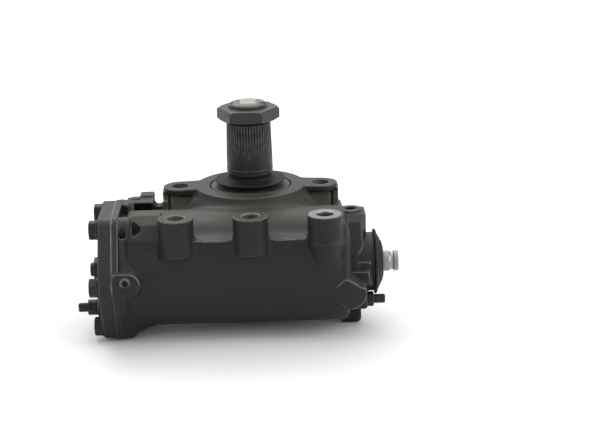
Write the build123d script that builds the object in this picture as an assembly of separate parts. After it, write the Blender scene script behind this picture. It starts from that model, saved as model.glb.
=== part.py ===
from build123d import *
import math
import os

os.makedirs("parts", exist_ok=True)

# Recirculating-ball power steering gear, millimetres.
# Frame: origin at the centre of the four corner mounting holes, on the mounting
# faces (z = 0).  +X runs along the piston and worm axis towards the input shaft,
# +Z leaves the mounting faces along the output (sector) shaft.

# ---------------------------------------------------------------- dimensions
HOLE_X, HOLE_Y = 80.0, 64.0        # half spacings of the corner mounting holes
BOSS_R, BOSS_LOW = 19.0, -41.0     # mounting bosses: radius, cast lower end
HOLE_R, HOLE_DEEP = 9.2, 30.0      # M20 x 1.5 tapped: minor radius, depth
YP, ZP = -10.0, -73.2              # piston and worm axis
SX, SY = 0.0, 64.0                 # sector shaft axis
CYL_R, BORE_R = 63.5, 50.0         # cylinder wall outside, piston bore
X_JOINT, X_WALL = -150.0, 92.0     # cover joint plane, right wall of the chamber
FLOOR_Z = -144.3                   # lowest cast pads
# gear pair
TEETH, MODULE, PRESS_A = 12, 6.5, math.radians(25)
RP = TEETH * MODULE / 2            # 39: sector pitch radius
ADD, DED = 5.2, 6.1
BACKLASH = 0.40
GEAR_Z0, GEAR_Z1 = -98.2, -48.2
PITCH_Y = SY - RP                  # rack pitch plane
# ball screw
LEAD, BALL_CIRCLE, BALL_R, GROOVE_R = 13.0, 19.0, 3.97, 4.15
WORM_R, NUT_R = 18.2, 19.9
CIRCUIT_X, TURNS = -15.0, 3.5      # middle of the ball circuit, loaded turns
# rack piston
PIST_R, PIST_X0, PIST_X1 = 49.93, -117.0, 58.0
# output shaft
SPL_TOP_R, SPL_LOW_R, NECK_R = 25.0, 26.1, 23.2
THREAD_R, SHAFT_TOP = 21.0, 95.2   # M42 x 1.5
NUT_AF, NUT_Z0, NUT_Z1 = 62.0, 75.6, 90.2
SERRATIONS = 48
# side (sector) cover
SC_Z, SC_T, SC_R, SC_BOLT_R = -129.0, 9.0, 63.0, 56.0
SC_ANGLES = [-48 + 46 * k for k in range(7)]
# end cover of the cylinder
EC_X0, EC_BOLT_R, EC_LOBE = -165.0, 64.0, 13.5
HEAD_TURN = [30, 0, 4, 21, 38, 55]  # how far each cover bolt's head is turned
# travel limiting screws
LIM_Y, LIM_Z = -26.0, -111.8
# valve end
VALVE_R = 26.0

MIN = (Align.CENTER, Align.CENTER, Align.MIN)


def cx(r, x0, x1, y=YP, z=ZP):
    """Cylinder along X."""
    return Plane(origin=(x0, y, z), x_dir=(0, 1, 0), z_dir=(1, 0, 0)) * Cylinder(r, x1 - x0, align=MIN)


def cy(r, y0, y1, x, z):
    """Cylinder along Y."""
    return Plane(origin=(x, y0, z), x_dir=(1, 0, 0), z_dir=(0, 1, 0)) * Cylinder(r, y1 - y0, align=MIN)


def cz(r, z0, z1, x=SX, y=SY):
    """Cylinder along Z."""
    return Pos(x, y, z0) * Cylinder(r, z1 - z0, align=MIN)


def bx(x0, x1, y0, y1, z0, z1):
    """Box by its corners."""
    return Pos((x0 + x1) / 2, (y0 + y1) / 2, (z0 + z1) / 2) * Box(x1 - x0, y1 - y0, z1 - z0)


def rev_z(pts, x=SX, y=SY):
    """Closed (radius, z) profile turned about a vertical axis."""
    face = make_face(Polyline([(r, 0, z) for r, z in pts], close=True))
    return Pos(x, y, 0) * revolve(face, Axis.Z, 360)


def rev_x(pts, y=YP, z=ZP):
    """Closed (radius, x) profile turned about an axis along X."""
    face = make_face(Polyline([(r, 0, s) for r, s in pts], close=True))
    return Plane(origin=(0, y, z), x_dir=(0, 1, 0), z_dir=(1, 0, 0)) * revolve(face, Axis.Z, 360)


def hex_x(af, x0, x1, y, z, turn=0.0, cham=0.0):
    """Hexagon bar along X, with its outer (-X or +X) corners turned off."""
    p = extrude(RegularPolygon(af / 2, 6, major_radius=False, rotation=turn), x1 - x0)
    p = Plane(origin=(x0, y, z), x_dir=(0, 1, 0), z_dir=(1, 0, 0)) * p
    if cham:
        rc = af / math.sqrt(3)
        s = 1 if cham > 0 else -1
        c = abs(cham)
        prof = [(0, x0), (rc - c * 1.6, x0), (rc, x0 + c), (rc, x1), (0, x1)] if s > 0 else \
               [(0, x0), (rc, x0), (rc, x1 - c), (rc - c * 1.6, x1), (0, x1)]
        p = p & rev_x(prof, y, z)
    return p


def hex_z(af, z0, z1, x, y, turn=0.0, cham=0.0):
    """Hexagon along Z. cham > 0 turns off the top corners, cham < 0 the bottom ones."""
    p = Pos(x, y, z0) * extrude(RegularPolygon(af / 2, 6, major_radius=False, rotation=turn), z1 - z0)
    if cham:
        rc = af / math.sqrt(3)
        c = abs(cham)
        prof = [(0, z0), (rc, z0), (rc, z1 - c), (rc - c * 1.7, z1), (0, z1)] if cham > 0 else \
               [(0, z0), (rc - c * 1.7, z0), (rc, z0 + c), (rc, z1), (0, z1)]
        p = p & rev_z(prof, x, y)
    return p


def prism_x(pts, x0, x1):
    """(y, z) outline pushed along X."""
    face = make_face(Polyline([(x0, y, z) for y, z in pts], close=True))
    return extrude(face, x1 - x0, dir=(1, 0, 0))


def prism_y(pts, y0, y1):
    """(x, z) outline pushed along Y."""
    face = make_face(Polyline([(x, y0, z) for x, z in pts], close=True))
    return extrude(face, y1 - y0, dir=(0, 1, 0))


def prism_z(pts, z0, z1):
    """(x, y) outline pushed along Z."""
    face = make_face(Polyline([(x, y, z0) for x, y in pts], close=True))
    return extrude(face, z1 - z0, dir=(0, 0, 1))


def lobes(r, ring, x0, x1):
    """Six-cornered cover outline: the hull of six circles on the bolt circle."""
    pts = [(YP - ring * math.cos(math.radians(60 * k)), ZP + ring * math.sin(math.radians(60 * k))) for k in range(6)]
    body = None
    for k in range(6):
        (y0, z0), (y1, z1) = pts[k], pts[(k + 1) % 6]
        c = cx(r, x0, x1, y0, z0)
        body = c if body is None else body + c
    out = []
    for k in range(6):
        # tangent flats between neighbouring circles
        a = math.radians(60 * k + 30)
        ny, nz = -math.cos(a), math.sin(a)
        for (py, pz) in (pts[k], pts[(k + 1) % 6]):
            out.append((py + r * ny, pz + r * nz))
    return body + prism_x(out, x0, x1)


def one(shape):
    """The single solid of a shape."""
    s = shape.solids() if hasattr(shape, "solids") else [shape]
    return max(s, key=lambda q: q.volume)


def bolt_xy(k):
    a = math.radians(60 * k)
    return YP - EC_BOLT_R * math.cos(a), ZP + EC_BOLT_R * math.sin(a)


def groove(r, x0, turns):
    """Helical ball channel about the worm axis, starting towards +Y at x0."""
    path = Helix(LEAD, LEAD * turns, BALL_CIRCLE)
    prof = Plane(origin=path @ 0, z_dir=path % 0) * Circle(r)
    g = sweep(prof, path=path, is_frenet=True)
    return Plane(origin=(x0, YP, ZP), x_dir=(0, 1, 0), z_dir=(1, 0, 0)) * g


parts = {}

# ------------------------------------------------------------------ housing
h = cx(CYL_R, -136.5, 104)
h -= bx(-137, 97, -90, 60, -150, -135.4)
h += cx(58.5, -148, -130)
# flat front wall below the ledge, rising to the deck and the tower
h += prism_x([(-68, -26.5), (-73.3, -64), (-73.3, -73.2), (-10, -73.2), (45, -73.2), (83, -60), (83, -27), (30, -20), (-10, -21)], -99, 88)
h += prism_x([(-58, -26), (-62, -60), (-10, -73.2), (45, -73.2), (83, -60), (83, -27), (30, -20), (-10, -21)], 80, 104)
# sector chamber and tower
h += cz(60.5, SC_Z, 0.0)
h += cz(65.0, SC_Z, -117)
flare = rev_z([(0, -96), (60.8, -96), (66, -70), (88, -44), (84, -26), (73, -15), (65, -6), (61.5, -1.5), (60.5, 0), (0, 0)])
h += flare & prism_z([(-90, -30), (90, -30), (90, 62), (74, 90), (44, 111), (16, 126), (-16, 126), (-44, 111), (-74, 90), (-90, 62)], -97, 1)
# mounting bosses
for x, y, low in [(-HOLE_X, -HOLE_Y, BOSS_LOW), (0, -HOLE_Y, BOSS_LOW), (HOLE_X, -HOLE_Y, -43.5), (-HOLE_X, HOLE_Y, -6), (HOLE_X, HOLE_Y, -6)]:
    h += cz(BOSS_R, low, 0, x, y)
# soft ridges that run down from the right front boss
h += cz(8.5, -80, -28, 90, -65.5) + cz(7.5, -80, -24, 99.5, -62.5)
# webs from the rear bosses to the tower ring, with the recessed walls below
for s in (-1, 1):
    web = prism_z([(s * 80, 82.5), (s * 80, 45.5), (s * 40, 50), (s * 40, 90)], -8, 0)
    a, b = sorted((s * 50, s * 99.8))
    h += web + bx(a, b, 50.5, 80, -40, -3)
# cylinder head flange, its bolt columns and the foot pad
h += lobes(EC_LOBE + 1.0, EC_BOLT_R, X_JOINT, -143)
for k in range(6):
    y, z = bolt_xy(k)
    h += cx(13.0, X_JOINT, -130, y, z)
h += prism_y([(-150, FLOOR_Z), (-132.5, FLOOR_Z), (-121, -133), (-121, -110), (-150, -110)], -42, 22)
# upper left: wall behind the flange, the rear block with its undercut plate, the front shoulder
h += bx(-146, -135, 8, 30, -40, -4.5)
h += bx(-125.5, -109.8, 29.6, 66, -15.5, -9) + bx(-137, -125, 29.6, 41, -15.5, -9)
h += bx(-137, -109.8, 50, 60, -40, -15) + bx(-113, -109.8, 29.6, 66, -40, -9) + prism_y([(-140, -9), (-130, -15.5), (-136, -27), (-136, -40), (-140, -40)], 26, 56)
h += prism_x([(-66, -46), (-61, -26), (-50, -12), (-36, -4.5), (-24, -4.5), (-20, -9), (24, -12), (60, -30), (60, -60), (-66, -60)], -131, -97)
# valve end: end wall, port tower, neck with its pads
h += prism_x([(-62, -40), (-56, -22), (30, -22), (44, -60), (40, -100), (20, -125), (-40, -125), (-66, -104), (-66, -73.2)], 90, 106)
h += prism_x([(-30, -21.5), (-21, -14.5), (9, -14.5), (9, -62), (-47, -62), (-45, -52)], 98, 127.3) \
    & prism_y([(98, -12), (127.3, -12), (127.3, -38), (122.7, -46), (116.4, -55), (113, -64), (98, -64)], -50, 12) \
    & prism_z([(98, -50), (123, -50), (121, -30), (127.3, -18), (127.3, 12), (98, 12)], -65, -10)
h += bx(98, 126.0, 8, 27, -72, -33)
h += cz(12.0, -40, -11, 110, -8)
h -= cz(13.0, -11, -4, 110, -8)
h += cx(32.6, 100, 135)
h += cx(38, 100, 117)
h += bx(113, 130.5, -43.5, -12, -90, -62.5) + bx(107.5, 127.3, -47.5, -12, -87, -71)
h += prism_y([(84, -90), (91, -84.5), (95, -79.5), (99, -76.2), (103.5, -75.6), (108, -77.5), (112, -81.3), (117.5, -85), (122.5, -86.5),
              (124.2, -92), (123.2, -98), (119, -103.8), (112.5, -107.8), (105.5, -109.3), (95, -109), (84, -104)], -72.5, -15)
h += cx(11.2, 98, 126.5, LIM_Y, LIM_Z)
h += prism_y([(100, FLOOR_Z), (117, FLOOR_Z), (120.5, -140), (120.5, -100), (98, -100), (98, FLOOR_Z + 6)], -14, 12)
# front column of the flange with the passage boss on it
h += cy(12.5, -87.5, -70, -131.5, -67) + bx(-150, -131.5, -87.5, -70, -79.5, -54.5)
h += cy(6.2, -90.5, -70, -135.3, -64.2)

# bores
h -= cx(BORE_R, X_JOINT - 1, X_WALL)
h -= cz(67.0, SC_Z - 20, SC_Z)
h -= cz(46.0, SC_Z - 1, -47)
h -= cz(37.0, -48, -36)
h -= cz(40.0, -36.5, -10)
h -= cz(44.5, -16, 1)
h -= cz(46.0, -5, 1)
h -= cx(VALVE_R, X_WALL - 1, 127)
h -= cx(17.0, 126, 136)
h -= rev_x([(16, 134), (17, 134), (18.5, 135.5), (16, 135.5)])
# mounting holes
for x, y in [(-HOLE_X, -HOLE_Y), (0, -HOLE_Y), (HOLE_X, -HOLE_Y), (-HOLE_X, HOLE_Y), (HOLE_X, HOLE_Y)]:
    h -= cz(HOLE_R, -HOLE_DEEP, 1, x, y)
    h -= rev_z([(0, -HOLE_DEEP), (HOLE_R, -HOLE_DEEP), (0, -HOLE_DEEP - 4.5)], x, y)
# upright grooves in the walls under the rear bosses
for s in (-1, 1):
    a, b = sorted((s * 93.6, s * 90.8))
    h -= bx(a, b, 49, 53.5, -30, -9)
# pocket and scoop beside the upper front bolt column
h -= prism_y([(-128, -9), (-118.5, -13.5), (-119, -18.5), (-127, -23)], -75, -44)
h -= cz(3.5, -27, 0, -137, -56.5)
# oil ports, their passages and the piston chamber passage
h -= cz(6.2, -29, 0, 110, -8)
h -= cz(3.2, -50, -28, 110, -8)
h -= cy(7.2, 14, 28, 114, -56)
h -= cy(3.2, 0, 15, 114, -56)
h -= cy(3.0, -91, -79, -135.3, -64.2)
# tapped holes for the cover bolts and the limiting screw
for k in range(6):
    y, z = bolt_xy(k)
    h -= cx(6.0, X_JOINT - 1, -133, y, z)
for a in SC_ANGLES:
    t = math.radians(a)
    h -= cz(5.0, SC_Z - 1, SC_Z + 10.5, SX + SC_BOLT_R * math.cos(t), SY + SC_BOLT_R * math.sin(t))
h -= cx(5.0, 91, 128, LIM_Y, LIM_Z)
parts["housing"] = one(h)

# ------------------------------------------------------------ cylinder cover
c = lobes(EC_LOBE, EC_BOLT_R, EC_X0, X_JOINT)
c = c - rev_x([(0, EC_X0 - 1), (41, EC_X0 - 1), (41, EC_X0 + 2.0), (37, EC_X0 + 2.6), (0, EC_X0 + 2.6)])
c += cx(15.0, EC_X0, X_JOINT)
c += cx(11.5, EC_X0 - 7.0, X_JOINT, LIM_Y, LIM_Z)
for k in range(6):
    y, z = bolt_xy(k)
    c -= cx(6.6, EC_X0 - 1, X_JOINT + 1, y, z)
c -= cx(5.0, EC_X0 - 8, X_JOINT + 1, LIM_Y, LIM_Z)
c -= cx(8.0, EC_X0 - 1, -156, YP, ZP)
c -= cx(54.2, X_JOINT - 2.0, X_JOINT + 1) - cx(50.6, X_JOINT - 3, X_JOINT + 1)
parts["cylinder_cover"] = one(c)
parts["cylinder_cover_seal"] = one(cx(54.0, X_JOINT - 1.98, X_JOINT) - cx(50.9, X_JOINT - 3, X_JOINT + 1))
b = None
for k in range(6):
    y, z = bolt_xy(k)
    q = cx(5.95, EC_X0, -134.5, y, z) + cx(11.0, EC_X0 - 1.6, EC_X0, y, z) + hex_x(19.0, EC_X0 - 10.0, EC_X0 - 1.6, y, z, HEAD_TURN[k], 0.9)
    b = q if b is None else b + q
parts["cylinder_cover_bolts"] = b
p = cx(7.95, EC_X0, -157) + cx(13.2, -171.0, EC_X0) + hex_x(24.0, -175.4, -171.0, YP, ZP, 12, 0.8) + cx(7.6, -179.4, -175.4)
p -= hex_x(8.0, -180, -173.5, YP, ZP, 0)
parts["cover_plug"] = one(p)

# travel limiting screws with their lock nuts
s1 = rev_x([(0, -195.0), (3.9, -195.0), (5.0, -193.6), (4.95, -150.1), (0, -150.1)], LIM_Y, LIM_Z)
s1 -= bx(-196, -193.4, LIM_Y - 5.2, LIM_Y + 5.2, LIM_Z - 0.8, LIM_Z + 0.8)
parts["limit_screw_left"] = one(s1)
parts["limit_nut_left"] = one(hex_x(15.5, -183.0, EC_X0 - 7.0, LIM_Y, LIM_Z, 3, 0.8) - cx(5.05, -184, -164, LIM_Y, LIM_Z))
s2 = rev_x([(0, 92.1), (4.95, 92.1), (4.95, 144.9), (3.9, 146.3), (0, 146.3)], LIM_Y, LIM_Z)
s2 -= bx(144.6, 147, LIM_Y - 5.2, LIM_Y + 5.2, LIM_Z - 0.8, LIM_Z + 0.8)
parts["limit_screw_right"] = one(s2)
parts["limit_nut_right"] = one(hex_x(15.0, 126.5, 133.6, LIM_Y, LIM_Z, 0, -0.8) - cx(5.05, 126, 135, LIM_Y, LIM_Z))
parts["passage_plug"] = one(cy(2.98, -87.0, -79.5, -135.3, -64.2) - cy(1.2, -88, -85, -135.3, -64.2))

# --------------------------------------------------------------- side cover
q = cz(SC_R, SC_Z - SC_T, SC_Z) + cz(45.9, SC_Z, -117.5) + cz(33.3, SC_Z, -104)
for a in SC_ANGLES:
    t = math.radians(a)
    q += cz(9.0, SC_Z - SC_T, SC_Z, SX + SC_BOLT_R * math.cos(t), SY + SC_BOLT_R * math.sin(t))
q -= cz(30.5, SC_Z + 1.5, -103)
q -= cz(8.0, SC_Z - SC_T - 1, SC_Z + 2)
q -= cz(47.0, -125.5, -121.5) - cz(43.4, -126, -121)
for a in SC_ANGLES:
    t = math.radians(a)
    q -= cz(5.4, SC_Z - SC_T - 1, SC_Z + 1, SX + SC_BOLT_R * math.cos(t), SY + SC_BOLT_R * math.sin(t))
parts["side_cover"] = one(q)
parts["side_cover_seal"] = one(cz(45.98, -125.3, -121.7) - cz(43.5, -126, -121))
b = None
for a in SC_ANGLES:
    t = math.radians(a)
    x, y = SX + SC_BOLT_R * math.cos(t), SY + SC_BOLT_R * math.sin(t)
    q = cz(4.95, SC_Z - SC_T, SC_Z + 9.5, x, y) + cz(9.0, SC_Z - SC_T - 1.2, SC_Z - SC_T, x, y) + hex_z(15.0, FLOOR_Z, SC_Z - SC_T - 1.2, x, y, a, -0.7)
    b = q if b is None else b + q
parts["side_cover_bolts"] = b
q = cz(7.95, -144.0, -119.0) + cz(11.3, -119.0, -113.2)
q -= hex_z(6.0, -144, -137, SX, SY)
parts["adjusting_screw"] = one(q)
parts["adjusting_lock_nut"] = one(hex_z(24.0, -143.0, SC_Z - SC_T, SX, SY, 10, -0.9) - cz(8.05, -144, -136))

# ---------------------------------------------------- sector shaft bearings
parts["upper_bearing_race"] = one(rev_z([(29.2, -36.4), (40.0, -36.4), (40.0, -16.6), (35.1, -16.6), (35.1, -34.9), (29.2, -34.9)]))
r = None
for k in range(24):
    a = math.radians(15 * k)
    q = cz(3.45, -34.7, -17.4, SX + 31.58 * math.cos(a), SY + 31.58 * math.sin(a))
    r = q if r is None else r + q
parts["upper_bearing_rollers"] = r
parts["lower_bearing_race"] = one(cz(30.5, SC_Z + 1.5, -104.5) - cz(27.2, SC_Z, -104))
r = None
for k in range(24):
    a = math.radians(15 * k)
    q = cz(2.52, SC_Z + 2.2, -105.2, SX + 24.62 * math.cos(a), SY + 24.62 * math.sin(a))
    r = q if r is None else r + q
parts["lower_bearing_rollers"] = r
parts["sector_seal"] = one(rev_z([(28.06, -11.0), (29.4, -15.6), (44.5, -15.6), (44.5, -6.0), (41.8, -6.0), (41.8, -12.0), (31.0, -12.0), (30.2, -7.0), (28.06, -7.0)]))
parts["seal_retainer"] = one(rev_z([(29.6, -4.0), (45.1, -4.0), (45.1, -1.0), (44.5, -0.6), (29.6, -0.6)]))

# ------------------------------------------------------------- sector shaft
prof = [(0, -126.6), (21.3, -126.6), (22.0, -125.9), (22.0, -98.2), (26.4, -98.2), (26.4, -48.2), (28.0, -47.5), (28.0, -3.0),
        (26.4, -1.2), (NECK_R, 0.6), (NECK_R, 7.0), (24.4, 12.6), (25.7, 14.0), (SPL_LOW_R, 14.8), (SPL_LOW_R, 30.0), (SPL_TOP_R, 72.0), (24.2, 72.8),
        (20.2, 72.8), (20.2, 73.6), (THREAD_R, 74.4), (THREAD_R, SHAFT_TOP - 1.6), (THREAD_R - 1.8, SHAFT_TOP), (0, SHAFT_TOP)]
shaft = rev_z(prof)
# toothed sector: a wedge of hub and three teeth towards the piston
hub = cz(RP - DED, GEAR_Z0, GEAR_Z1)
w = math.radians(50)
wedge = prism_z([(SX, SY)] + [(SX + 80 * math.sin(t), SY - 80 * math.cos(t)) for t in (-w, -w / 2, 0, w / 2, w)], GEAR_Z0 - 1, GEAR_Z1 + 1)
shaft += hub & wedge
rb = RP * math.cos(PRESS_A)
psi = (math.pi * MODULE / 2 - BACKLASH) / (2 * RP)
inv = math.tan(PRESS_A) - PRESS_A


def flank(side, centre):
    pts = []
    for i in range(7):
        rr = rb + 0.02 + (RP + ADD - rb - 0.02) * (i / 6.0) ** 1.5
        ar = math.acos(rb / rr)
        a = centre + side * (psi + inv - (math.tan(ar) - ar))
        pts.append((SX + rr * math.cos(a), SY + rr * math.sin(a)))
    return pts


for k in (-1, 0, 1):
    ctr = math.radians(-90 + 30 * k)
    left, right = flank(-1, ctr), flank(1, ctr)
    foot = psi + inv
    lo = [(SX + 30 * math.cos(ctr - foot), SY + 30 * math.sin(ctr - foot)), (SX + 30 * math.cos(ctr + foot), SY + 30 * math.sin(ctr + foot))]
    edge = [Line(lo[0], left[0]), Spline(*left), Line(left[-1], right[-1]), Spline(*right[::-1]), Line(right[0], lo[1]), Line(lo[1], lo[0])]
    tooth = extrude(make_face(Wire(edge)), GEAR_Z1 - GEAR_Z0, dir=(0, 0, 1))
    shaft += Pos(0, 0, GEAR_Z0) * tooth
# serrations on the taper: V grooves that run out above the plain band
for k in range(SERRATIONS):
    a = 2 * math.pi * k / SERRATIONS
    p0 = [(SPL_TOP_R + 0.35, -1.05, 73), (SPL_TOP_R + 0.35, 1.05, 73), (SPL_TOP_R - 1.3, 0, 73)]
    p1 = [(SPL_LOW_R + 0.3, -0.3, 33), (SPL_LOW_R + 0.3, 0.3, 33), (SPL_LOW_R - 0.12, 0, 33)]
    f0 = make_face(Polyline(p0, close=True))
    f1 = make_face(Polyline(p1, close=True))
    v = loft([f1, f0])
    shaft -= Pos(SX, SY, 0) * Rot(0, 0, math.degrees(a)) * v
# bore for the head of the adjusting screw, and the pocket and notches in the top end
shaft -= cz(12.4, -127.5, -112.0)
shaft -= bx(-8.5, 8.3, SY - 8.5, SY + 14.5, SHAFT_TOP - 1.8, SHAFT_TOP + 1)
shaft -= bx(-22.0, -17.0, SY - 4.0, SY + 4.0, SHAFT_TOP - 2.6, SHAFT_TOP + 1) + bx(13.0, 22.0, SY - 8.5, SY - 2.5, SHAFT_TOP - 2.6, SHAFT_TOP + 1)
parts["sector_shaft"] = one(shaft)
parts["adjuster_retainer"] = one(cz(12.38, -124.6, -119.2) - cz(8.6, -125, -119))
n = hex_z(NUT_AF, NUT_Z0, NUT_Z1, SX, SY, -4.7, 2.4)
n = n & rev_z([(0, NUT_Z0), (29.8, NUT_Z0), (36.0, NUT_Z0 + 2.3), (36.0, NUT_Z1), (0, NUT_Z1)])
n -= cz(THREAD_R + 0.05, NUT_Z0 - 1, NUT_Z1 + 1)
n -= rev_z([(0, NUT_Z1 - 1.2), (THREAD_R, NUT_Z1 - 1.2), (THREAD_R + 1.6, NUT_Z1), (THREAD_R + 1.6, NUT_Z1 + 1), (0, NUT_Z1 + 1)])
parts["pitman_nut"] = one(n)
parts["sector_dust_cap"] = one(rev_z([(NECK_R, 2.2), (30.0, 2.0), (34.0, 2.8), (39.2, 4.9), (40.0, 5.7), (39.6, 6.7), (34.0, 7.1), (28.5, 7.8), (25.6, 9.2), (24.2, 10.6), (NECK_R + 0.95, 10.9), (NECK_R, 7.0)]))

# -------------------------------------------------------------- rack piston
p = rev_x([(0, PIST_X0), (48.4, PIST_X0), (PIST_R, PIST_X0 + 1.5), (PIST_R, PIST_X1 - 1.5), (48.4, PIST_X1), (0, PIST_X1)])
tip_y, root_y = SY - RP + ADD, SY - RP - DED
p -= bx(-62, PIST_X1 + 1, tip_y, 60, -140, 0)
for k in (-1, 0, 1):
    m = math.pi * MODULE * k
    ha = math.pi * MODULE / 4
    top, low = ha + ADD * math.tan(PRESS_A), ha - DED * math.tan(PRESS_A)
    ext = 1.0
    p -= prism_z([(m - low, root_y), (m + low, root_y), (m + top + ext * math.tan(PRESS_A), tip_y + ext), (m - top - ext * math.tan(PRESS_A), tip_y + ext)], -140, -5)
# ring groove, bore for the worm, plug seat, limit valve bore
p -= cx(60, -107.2, -102.0) - cx(46.6, -108, -101)
p -= cx(NUT_R, -109.5, PIST_X1 + 1)
p -= cx(22.5, PIST_X0 - 1, -109.0)
p -= cx(3.0, PIST_X0 - 1, PIST_X1 + 1, LIM_Y, LIM_Z)
# milled pocket for the ball return tube on the front of the piston
XA, XB = CIRCUIT_X - LEAD * TURNS / 2, CIRCUIT_X + LEAD * TURNS / 2
TUBE_Y = YP - 37.5
p -= bx(XA - 9, XB + 9, -70, YP - 32.2, ZP - 27.5, ZP + 27.5)
for x, z in ((XA, ZP - BALL_CIRCLE), (XB, ZP + BALL_CIRCLE)):
    p -= cy(5.1, YP - 34, YP, x, z)
for x, z in ((CIRCUIT_X - 12, ZP + 14), (CIRCUIT_X + 12, ZP - 14)):
    p -= cy(2.5, YP - 33, YP - 24.5, x, z)
X_T0 = XA + LEAD / 4               # where the channel points towards +Y
p -= groove(GROOVE_R, X_T0 - LEAD, 5)
parts["rack_piston"] = one(p)
parts["piston_ring"] = one(cx(49.96, -107.0, -102.2) - cx(46.65, -108, -101))
parts["piston_end_plug"] = one(cx(22.48, PIST_X0 + 0.5, -109.0) - hex_x(12.0, PIST_X0, -112.5, YP, ZP, 0))
tube_path = FilletPolyline([(XA, YP - 14, ZP - BALL_CIRCLE), (XA, TUBE_Y, ZP - BALL_CIRCLE), (XB, TUBE_Y, ZP + BALL_CIRCLE), (XB, YP - 14, ZP + BALL_CIRCLE)], radius=5.3)
tube = sweep(Plane(origin=tube_path @ 0, z_dir=tube_path % 0) * (Circle(5.0) - Circle(4.15)), path=tube_path)
parts["ball_return_tube"] = one(tube)
cl = prism_y([(CIRCUIT_X - 18, ZP + 8), (CIRCUIT_X - 18, ZP + 19), (CIRCUIT_X - 7, ZP + 19), (CIRCUIT_X + 18, ZP - 8), (CIRCUIT_X + 18, ZP - 19), (CIRCUIT_X + 7, ZP - 19)], YP - 44.1, YP - 42.6)
for x, z in ((CIRCUIT_X - 12, ZP + 14), (CIRCUIT_X + 12, ZP - 14)):
    cl += cy(4.4, YP - 42.6, YP - 32.2, x, z)
    cl -= cy(2.6, YP - 50, YP - 32, x, z)
parts["return_tube_clamp"] = one(cl)
b = None
for x, z in ((CIRCUIT_X - 12, ZP + 14), (CIRCUIT_X + 12, ZP - 14)):
    q = cy(2.48, YP - 44.1, YP - 25, x, z) + cy(4.2, YP - 46.0, YP - 44.1, x, z)
    b = q if b is None else b + q
parts["clamp_screws"] = b
balls = None
step = 2 * math.pi * TURNS / 52.0
spots = []
for i in range(52):
    t = -math.pi / 2 + (i + 0.5) * step
    spots.append((XA + (t + math.pi / 2) * LEAD / (2 * math.pi), YP + BALL_CIRCLE * math.cos(t), ZP + BALL_CIRCLE * math.sin(t)))
L = tube_path.length
lead_in = 14.0
total = L + 2 * lead_in
count = int((total - 2 * 8.2) / 8.1)
for i in range(count + 1):
    s = 8.2 + i * (total - 16.4) / count
    if s < lead_in:
        spots.append((XA, YP - s, ZP - BALL_CIRCLE))
    elif s > lead_in + L:
        spots.append((XB, YP - (total - s), ZP + BALL_CIRCLE))
    else:
        v = tube_path @ ((s - lead_in) / L)
        spots.append((v.X, v.Y, v.Z))
parts["recirculating_balls"] = Compound([Pos(*v) * Sphere(BALL_R) for v in spots])
parts["limit_valve_pins"] = Compound([one(cx(2.95, PIST_X0 - 1.8, -42, LIM_Y, LIM_Z)), one(cx(2.95, -18, PIST_X1 + 1.8, LIM_Y, LIM_Z))])
sp = Helix(3.0, 21.0, 2.2)
spring = sweep(Plane(origin=sp @ 0, z_dir=sp % 0) * Circle(0.5), path=sp, is_frenet=True)
parts["limit_valve_spring"] = one(Plane(origin=(-40.5, LIM_Y, LIM_Z), x_dir=(0, 1, 0), z_dir=(1, 0, 0)) * spring)

# --------------------------------------------------- worm, valve and input
w = rev_x([(0, -76.5), (16.6, -76.5), (WORM_R, -74.9), (WORM_R, 50), (15.5, 52), (15.5, 90), (19.0, 92.6), (19.0, 109.4), (0, 109.4)])
w -= groove(GROOVE_R, X_T0 - 3 * LEAD, 9)
ring = Plane(origin=(103.2, YP, ZP), x_dir=(0, 1, 0), z_dir=(1, 0, 0)) * Torus(20.6, 3.6)
w -= ring
w -= cx(4.9, -78, -46)
w -= cx(6.0, -47, 110)
w -= cz(2.05, ZP - 20, ZP + 20, -62.0, YP)
parts["worm_shaft"] = one(w)
race = rev_x([(22.3, 97.6), (25.98, 97.6), (25.98, 109.0), (22.3, 109.0)]) - ring
parts["worm_bearing_race"] = one(race)
r = None
for k in range(18):
    a = math.radians(20 * k)
    q = Pos(103.2, YP + 20.6 * math.cos(a), ZP + 20.6 * math.sin(a)) * Sphere(3.42)
    r = [q] if r is None else r + [q]
parts["worm_bearing_balls"] = Compound(r)
rn = cx(25.98, 92.1, 97.5) - cx(20.4, 92, 98)
for k in range(4):
    a = math.radians(90 * k + 45)
    rn -= cx(2.2, 91, 95, YP + 23.2 * math.cos(a), ZP + 23.2 * math.sin(a))
parts["bearing_ring_nut"] = one(rn)
sl = rev_x([(15.0, 109.5), (25.9, 109.5), (25.9, 126.6), (15.0, 126.6)])
for x in (111.6, 116.6, 121.6):
    sl -= cx(30, x, x + 2.6) - cx(23.6, x - 1, x + 4)
for k in range(6):
    a = math.radians(60 * k)
    for x in (115.4, 120.4):
        sl -= Plane(origin=(x, YP, ZP), x_dir=(1, 0, 0), z_dir=(0, math.cos(a), math.sin(a))) * Cylinder(0.9, 30, align=MIN)
parts["valve_sleeve"] = one(sl)
parts["valve_sleeve_rings"] = Compound([one(cx(25.96, x + 0.1, x + 2.5) - cx(23.65, x, x + 2.6)) for x in (111.6, 116.6, 121.6)])
i_ = rev_x([(0, 110.0), (14.94, 110.0), (14.94, 126.4), (12.4, 126.4), (11.0, 127.6), (11.0, 146.2), (11.4, 146.6), (11.4, 151.6), (10.6, 152.6), (9.9, 153.6), (9.7, 154.8), (9.9, 156.0),
            (10.7, 156.9), (11.45, 157.5), (11.45, 161.2), (10.5, 162.3), (0, 162.3)])
for k in range(6):
    a = math.radians(60 * k + 30)
    i_ -= Plane(origin=(112.5, YP, ZP), x_dir=(1, 0, 0), z_dir=(0, math.cos(a), math.sin(a))) * Pos(5.5, 0, 13.6) * Box(11, 3.2, 4)
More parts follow.
